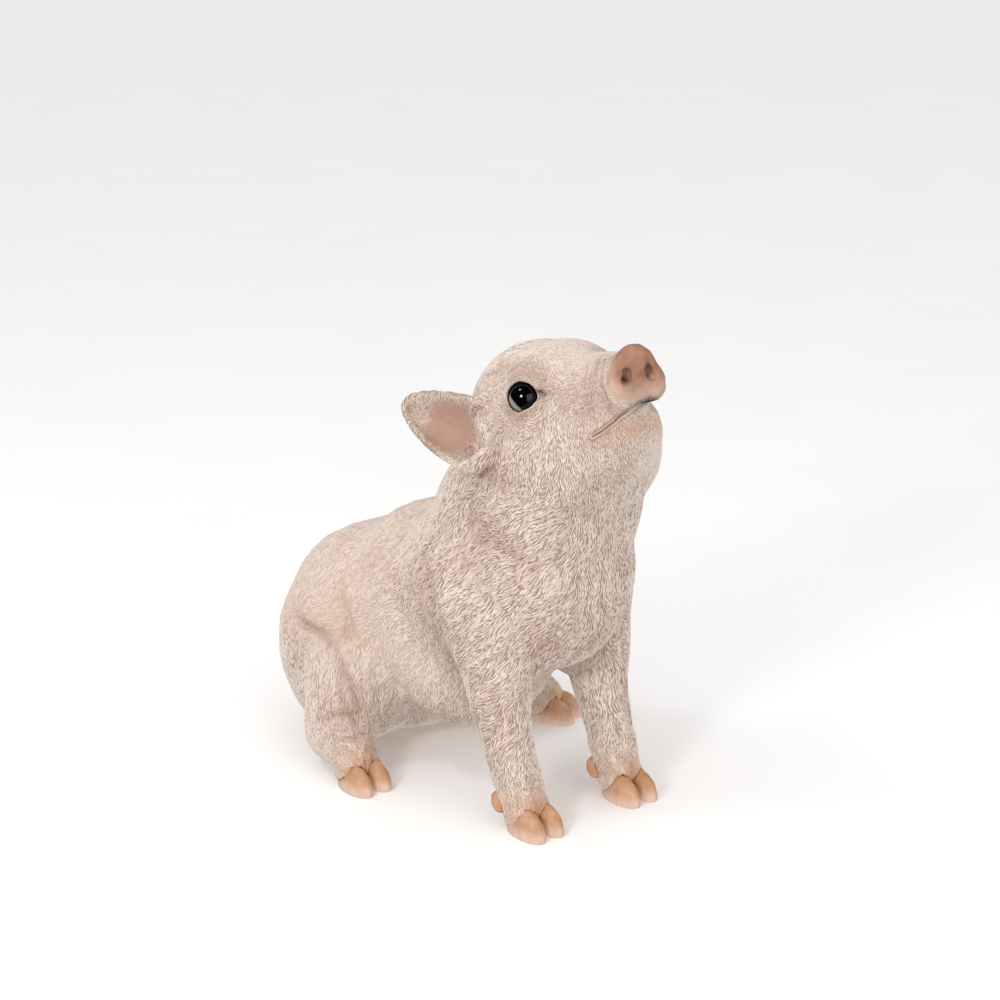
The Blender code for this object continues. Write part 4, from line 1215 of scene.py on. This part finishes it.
count = len(chosen)
size = sizes[chosen] * rng.uniform(*SIZE_SPREAD, count)
length = HAIR_LENGTH * size * rng.uniform(*LENGTH_SPREAD, count)
astray = rng.normal(0, ASTRAY, count)
spot, facing = onto_skin(roots[chosen])
line_points, line_normals = [spot], [facing]
for station in range(1, STATIONS):
    along = lie_of_hair(spot, facing)
    turn = astray
    for swing, span, seed in WAVINESS:
        turn = turn + swing * swirl(spot, span, seed)
    across = np.cross(facing, along)
    along = along * np.cos(turn)[:, None] + across * np.sin(turn)[:, None]
    spot, facing = onto_skin(spot + along * (length / (STATIONS - 1))[:, None])
    line_points.append(spot)
    line_normals.append(facing)
clear = np.max([bare_share(p) for p in line_points], axis=0) < MOST_BARE
line_points, line_normals = np.array(line_points)[:, clear], np.array(line_normals)[:, clear]
root_uv = (corners[root_face[chosen]] * mix[chosen][:, :, None]).sum(1)[clear]
# The wash mark under each root, with its painted shade where the skin faces down
root_wash_and_shade = (paint["wash"][triangles[root_face[chosen]]] * mix[chosen]).sum(1)[clear]
size, roots = size[clear], roots[chosen][clear]
shortest, longest = round(float(length.min()), 1), round(float(length.max()), 1)
print(len(size), "hairs of", shortest, "to", longest, "mm")

# %% Building the coat's pieces
COAT_PIECES = ("crown", "brow", "cheek", "throat", "shoulder", "flank", "haunch", "foot")
HAIR_HALF_WIDTH = 0.31  # millimetres, and so are the next two
HAIR_HEIGHT = 0.22
SUNK = 0.10  # how deep a hair's edges and ends lie under the skin
SMALL_HAIR_HEIGHT = 0.7  # a power: below 1, small hairs are a little high for their size
RISE = (0.0, 0.9, 1.0, 0.85, 0.0)  # the height at each station, with the full height as 1
SWELL = (0.0, 0.85, 1.0, 0.85, 0.0)  # the same for the width
PATCH = 0.003  # the width of a hair's place on the texture, with the whole texture as 1
POINTS = 3 * STATIONS - 4
GAP_RIDGE = 0.46  # the skin between hairs holds less wash than their feet
BARE_RIDGE = 0.4


def keep_values(obj, values):
    """Stores each list of numbers as an attribute of the mesh's points."""
    for name, numbers in values.items():
        attribute = obj.data.attributes.new(name, "FLOAT", "POINT")
        attribute.data.foreach_set("value", numbers.astype(np.float32))


def coat_mesh(name, chosen):
    """One piece of the coat: a mesh of these hairs, each of eleven points and twelve triangles."""
    count = len(chosen)
    points = np.empty((count, POINTS, 3))
    ridge = np.zeros((count, POINTS))
    patch = np.empty((count, POINTS, 2))
    height = (HAIR_HEIGHT * size[chosen] ** SMALL_HAIR_HEIGHT)[:, None]
    for station in range(STATIONS):
        spot, facing = line_points[station][chosen], line_normals[station][chosen]
        low = spot - facing * SUNK
        if station in (0, STATIONS - 1):
            corner = 0 if station == 0 else POINTS - 1
            points[:, corner] = low
            patch[:, corner] = (0, -1 if station == 0 else 1)
            continue
        before, after = line_points[station - 1][chosen], line_points[station + 1][chosen]
        side = np.cross(after - before, facing)
        side /= np.maximum(np.linalg.norm(side, axis=1), 1e-6)[:, None]
        side *= (HAIR_HALF_WIDTH * size[chosen] * SWELL[station])[:, None]
        first = 3 * station - 2
        top = spot + facing * (height * RISE[station])
        points[:, first], points[:, first + 1], points[:, first + 2] = low - side, top, low + side
        ridge[:, first + 1] = 1
        for step in range(3):
            patch[:, first + step] = (step - 1, station * 2 / (STATIONS - 1) - 1)
    # The triangles of one hair: two at its root, four between stations and two at its tip
    fan = [(0, 2, 1), (0, 3, 2)]
    for row in range(1, POINTS - 4, 3):
        for near in (row, row + 1):
            fan += [(near, near + 1, near + 4), (near, near + 4, near + 3)]
    fan += [(POINTS - 4, POINTS - 3, POINTS - 1), (POINTS - 3, POINTS - 2, POINTS - 1)]
    faces = (np.array(fan)[None] + POINTS * np.arange(count)[:, None, None]).reshape(-1, 3)
    mesh = bpy.data.meshes.new(name)
    mesh.vertices.add(POINTS * count)
    mesh.vertices.foreach_set("co", (points * MM).ravel())
    mesh.loops.add(3 * len(faces))
    mesh.loops.foreach_set("vertex_index", faces.ravel())
    mesh.polygons.add(len(faces))
    mesh.polygons.foreach_set("loop_start", np.arange(0, 3 * len(faces), 3))
    mesh.update(calc_edges=True)
    places_on_map = (root_uv[chosen][:, None] + patch * PATCH / 2).reshape(-1, 2)
    layer = mesh.uv_layers.new(name="OFBake")
    layer.data.foreach_set("uv", places_on_map[faces.ravel()].astype(np.float32).ravel())
    coat = bpy.data.objects.new(name, mesh)
    bpy.context.scene.collection.objects.link(coat)
    flat_normals = np.repeat(line_normals[STATIONS // 2][chosen], POINTS, axis=0)
    marks = paint_at(points.reshape(-1, 3), flat_normals)
    marks["wash"] = np.maximum(marks["wash"], np.repeat(root_wash_and_shade[chosen], POINTS))
    marks["ridge"] = ridge.ravel()
    marks["tone"] = np.repeat(rng.random(count), POINTS)
    keep_values(coat, marks)
    only(coat)
    bpy.ops.object.shade_smooth()
    return coat


downwards = np.argsort(-roots[:, 2], kind="stable")
coats = [
    coat_mesh("coat_" + name, part)
    for name, part in zip(COAT_PIECES, np.array_split(downwards, len(COAT_PIECES)))
]
paint["ridge"] = GAP_RIDGE + (1 - GAP_RIDGE) * np.maximum(BARE_RIDGE * bare, snout_share(places))
paint["tone"] = np.full(len(places), 0.5)
keep_values(skin, paint)
print("coat:", sum(len(coat.data.polygons) for coat in coats), "triangles in", len(coats), "pieces")

# %% [markdown]
# ## The paint
# Polyresin takes acrylic paint: a cream base, pink brushed on while it dries, and a thin brown
# wash that is wiped off, so that it stays between the hairs. A satin varnish closes it. The eye
# sees a soft, slightly warm surface with dark hairlines, and a broad highlight on the snout.

# %% Painted polyresin
VARNISH_GRAIN, GRAIN_DEPTH = 0.45 * MM, 0.04 * MM
PAINT_CLOUDS = 5 * MM
# Heights on a ridge, with its top as 1: wiped clean above the first, all wash below the second
WIPED, UNWIPED = 0.76, 0.40
MARK_SHARES = (
    # mark, and the most of its paint that covers
    ("wash", 0.45),
    ("blush", 0.45),
    ("cup", 0.8),
    ("tan", 0.85),
    ("rim", 0.3),
)

resin, tree, output = new_material("hand_painted_polyresin")
# Acrylic on polyresin under satin varnish: soft highlights on the hair, broader ones on the snout
here = add(tree, "ShaderNodeTexCoord").outputs["Object"]
clouds, grain = (
    add(tree, "ShaderNodeTexNoise", [("Vector", here), ("Scale", 1 / across), ("Detail", detail)])
    for across, detail in ((PAINT_CLOUDS, 4.0), (VARNISH_GRAIN, 2.0))
)
marks = {
    name: add(tree, "ShaderNodeAttribute", attribute_name=name).outputs["Fac"] for name in paint
}
numbers = [(name, marks[name], share, 0.0) for name, share in MARK_SHARES]
numbers += [("clouds", clouds.outputs[0], 2.4, -0.7), ("roughness", marks["snout"], -0.22, 0.62)]
shares = {}
for name, source, factor, offset in numbers:
    node = add(
        tree,
        "ShaderNodeMath",
        [(0, source), (1, factor), (2, offset)],
        operation="MULTIPLY_ADD",
        use_clamp=True,
    )
    shares[name] = node.outputs[0]
# The wash stays low on each ridge and is wiped off its top
between = add(
    tree,
    "ShaderNodeMapRange",
    [("Value", marks["ridge"]), ("From Min", WIPED), ("From Max", UNWIPED)],
    interpolation_type="SMOOTHSTEP",
)
lines = [(0, between.outputs[0]), (1, marks["lines"])]
shares["lines"] = add(tree, "ShaderNodeMath", lines, operation="MULTIPLY").outputs[0]
print("marks", list(marks))

# %% The layers of paint
LAYERS = (
    # name, how much of the upper colour, the lower colour or layer, the upper one, blending
    ("hair", marks["tone"], "#ebdfd5", "#dac6b7", "MIX"),
    # the wash mark holds the brown wash and also painted shade on skin that faces down
    ("wash", marks["wash"], "#8b725f", "#5f4637", "MIX"),
    ("hairlines", shares["lines"], "hair", "wash", "MIX"),
    ("stained and shaded", shares["wash"], "hairlines", "#a98c76", "MIX"),
    ("pinked", shares["blush"], "stained and shaded", "#d99a86", "MULTIPLY"),
    ("pink in the ears", shares["cup"], "pinked", "#b18a78", "MIX"),
    ("tan at the hooves", shares["tan"], "pink in the ears", "#c08a62", "MIX"),
    ("snout", shares["clouds"], "#875b43", "#af8068", "MIX"),
    ("snout with its rim", shares["rim"], "snout", "#ead3c8", "MIX"),
    ("all the skin", marks["snout"], "tan at the hooves", "snout with its rim", "MIX"),
    # almost black paint, with painted shade in the gap under the snout's disc
    ("dark lines", marks["liner"], "all the skin", "#221511", "MIX"),
)
layers = {}
for name, share, lower, upper_colour, blend in LAYERS:
    inputs = [(0, share)]
    for socket, colour in ((6, lower), (7, upper_colour)):
        inputs.append((socket, layers[colour] if colour in layers else srgb(colour)))
    node = add(tree, "ShaderNodeMix", inputs, data_type="RGBA", blend_type=blend)
    layers[name] = node.outputs[2]
bump = add(
    tree,
    "ShaderNodeBump",
    [("Height", grain.outputs[0]), ("Strength", 0.25), ("Distance", GRAIN_DEPTH)],
)
shader = add(
    tree,
    "ShaderNodeBsdfPrincipled",
    [
        ("Base Color", layers["dark lines"]),
        ("Roughness", shares["roughness"]),
        ("Normal", bump.outputs[0]),
        ("IOR", 1.49),
    ],
)
tree.links.new(shader.outputs[0], output.inputs[0])
for piece in (skin, *coats):
    piece.data.materials.append(resin)
print("layers of paint:", len(layers), "with", len(tree.nodes), "nodes")

# %% [markdown]
# ## Glass eyes
# The eyes are glass, bought in and pressed into the casting: black, with a slight bulge at the
# front. A UV sphere is turned so that its pole looks out, and the faces round that pole are pulled
# out a little for the bulge.

# %% Eyes
BULGE = 0.3 * MM
FRONT = 0.9  # the part of the radius past which the ball is the bulge
# The pale sickle, a painted reflection of the white floor, lies this way from the middle of each
# eye, outwards, back and down, and begins this far along it in millimetres
SICKLE_WAY = (0.49, -0.50, -0.71)
SICKLE_AT = 2.1
SICKLE_FROM = float(np.abs(EYE - (MIDDLE, 0, 0)) @ SICKLE_WAY + SICKLE_AT) * MM
SICKLE_SOFT = 0.8 * MM


def glass_eye(side):
    """One eye in place, with its pole looking out of the head."""
    low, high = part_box("eye_" + side)
    centre = (low + high) / 2
    radius = (high - low).x / 2
    look = EYE_LOOK if side == "right" else Vector((-EYE_LOOK.x, EYE_LOOK.y, EYE_LOOK.z))
    turn = look.to_track_quat("Z", "Y").to_matrix().to_4x4()
    bpy.ops.object.select_all(action="DESELECT")
    bpy.ops.mesh.primitive_uv_sphere_add(segments=64, ring_count=40, radius=radius)
    eye = bpy.context.object
    eye.name = "glass_eye_" + side
    bpy.ops.object.mode_set(mode="EDIT")
    bpy.ops.mesh.select_all(action="DESELECT")
    bpy.ops.object.mode_set(mode="OBJECT")
    for vertex in eye.data.vertices:
        vertex.select = vertex.co.z > FRONT * radius
    bpy.ops.object.mode_set(mode="EDIT")
    bpy.ops.transform.translate(
        value=(0, 0, BULGE),
        use_proportional_edit=True,
        proportional_edit_falloff="SMOOTH",
        proportional_size=FRONT * radius,
    )
    bpy.ops.object.mode_set(mode="OBJECT")
    eye.data.transform(Matrix.Translation(centre) @ turn)
    eye.data.update()
    only(eye)
    bpy.ops.object.shade_smooth()
    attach(eye, "root")
    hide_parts("eye_" + side)
    return eye


glass, tree, output = new_material("black_glass")
# Black glass, fire polished: it mirrors the soft boxes sharply. The pale sickle at its lower edge
# is a painted reflection of the white floor, a colour of the glass itself, so that it stays in
# place in every view
here = add(tree, "ShaderNodeTexCoord").outputs["Object"]
from_middle = add(
    tree, "ShaderNodeVectorMath", [(0, here), (1, (MIDDLE * MM, 0, 0))], operation="SUBTRACT"
).outputs[0]
folded = add(tree, "ShaderNodeVectorMath", [(0, from_middle)], operation="ABSOLUTE").outputs[0]
lean = add(
    tree, "ShaderNodeVectorMath", [(0, folded), (1, SICKLE_WAY)], operation="DOT_PRODUCT"
).outputs["Value"]
rim = add(
    tree,
    "ShaderNodeMapRange",
    [("Value", lean), ("From Min", SICKLE_FROM), ("From Max", SICKLE_FROM + SICKLE_SOFT)],
    interpolation_type="SMOOTHSTEP",
).outputs[0]
inputs = [(0, rim), (6, srgb("#060505")), (7, srgb("#8d8a8a"))]
black = add(tree, "ShaderNodeMix", inputs, data_type="RGBA").outputs[2]
inputs = [("Base Color", black), ("Roughness", 0.03), ("IOR", 1.5)]
shader = add(tree, "ShaderNodeBsdfPrincipled", inputs)
tree.links.new(shader.outputs[0], output.inputs[0])
for side in SIDES:
    eye = glass_eye(side)
    eye.data.materials.append(glass)
    middle_of_eye = sum((Vector(corner) for corner in eye.bound_box), Vector()) / 8
    print(eye.name, "at", [round(v / MM, 1) for v in middle_of_eye], "mm")

# %% [markdown]
# ## Hooves
# Each hoof is part of the casting, left smooth and painted like horn: orange tan at the top, pale
# pink at the tip. A copy of its solid is remeshed fine and smoothed, which rounds the facets.

# %% Painted horn
HORN_VOXEL = 0.22 * MM
HORN_SWELL = 0.34 * MM  # closes the gap between the hoof and its foot
HORN_SOFTENING = 6  # rounds of smoothing
TIP_HEIGHT = (5.5 * MM, 0.5 * MM)  # from where the horn grows paler, down to its palest
RIB_WIDTH, RIB_DEPTH = 0.7 * MM, 0.08 * MM
RIB_STRETCH = 0.12  # noise pressed to this much in height shows as upright ribs
HORN_CLOUDS = 4 * MM

horn, tree, output = new_material("painted_horn")
# Glossier than the skin, because the varnish lies on a smooth form; faint ribs run down it
here = add(tree, "ShaderNodeTexCoord").outputs["Object"]
height = add(tree, "ShaderNodeSeparateXYZ", [(0, here)]).outputs["Z"]
tip = add(
    tree,
    "ShaderNodeMapRange",
    [("Value", height), ("From Min", TIP_HEIGHT[0]), ("From Max", TIP_HEIGHT[1])],
    interpolation_type="SMOOTHSTEP",
).outputs[0]
upright = add(tree, "ShaderNodeMapping", [(0, here), ("Scale", (1.0, 1.0, RIB_STRETCH))])
ribs, clouds = (
    add(tree, "ShaderNodeTexNoise", [("Vector", at), ("Scale", 1 / width), ("Detail", detail)])
    for at, width, detail in ((upright.outputs[0], RIB_WIDTH, 2.0), (here, HORN_CLOUDS, 3.0))
)
colour = srgb("#b27e57")
for source, factor, offset, upper_colour in (
    (clouds.outputs[0], 2.4, -0.7, "#cda283"),
    (tip, 0.75, 0.0, "#e4cab8"),
    (ribs.outputs[0], 0.55, -0.12, "#a8754f"),
):
    inputs = [(0, source), (1, factor), (2, offset)]
    share = add(tree, "ShaderNodeMath", inputs, operation="MULTIPLY_ADD", use_clamp=True)
    inputs = [(0, share.outputs[0]), (6, colour), (7, srgb(upper_colour))]
    colour = add(tree, "ShaderNodeMix", inputs, data_type="RGBA").outputs[2]
inputs = [("Height", ribs.outputs[0]), ("Strength", 0.3), ("Distance", RIB_DEPTH)]
bump = add(tree, "ShaderNodeBump", inputs)
inputs = [("Base Color", colour), ("Roughness", 0.42), ("IOR", 1.49), ("Normal", bump.outputs[0])]
shader = add(tree, "ShaderNodeBsdfPrincipled", inputs)
tree.links.new(shader.outputs[0], output.inputs[0])
print("horn nodes", len(tree.nodes))

# %% Hooves and dewclaws
for node in sorted(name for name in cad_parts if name.endswith("claw")):
    hoof = copy_of(node + "_horn", node)
    apply_modifier(hoof, "REMESH", mode="VOXEL", voxel_size=HORN_VOXEL, adaptivity=0)
    apply_modifier(hoof, "SMOOTH", factor=0.5, iterations=HORN_SOFTENING)
    apply_modifier(hoof, "DISPLACE", strength=HORN_SWELL, mid_level=0)
    for vertex in hoof.data.vertices:
        vertex.co.z = max(vertex.co.z, 0.0)
    only(hoof)
    bpy.ops.object.shade_smooth()
    hoof.data.materials.append(horn)
    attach(hoof, "root")
    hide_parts(node)
    print(hoof.name, len(hoof.data.polygons), "faces")

# %% [markdown]
# ## Putting the pieces on the frame
# The skin stands for every solid of flesh, and the coat rides with it.

# %% Riding on the frame
for piece in (skin, *coats):
    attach(piece, "root")
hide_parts(*FLESH)
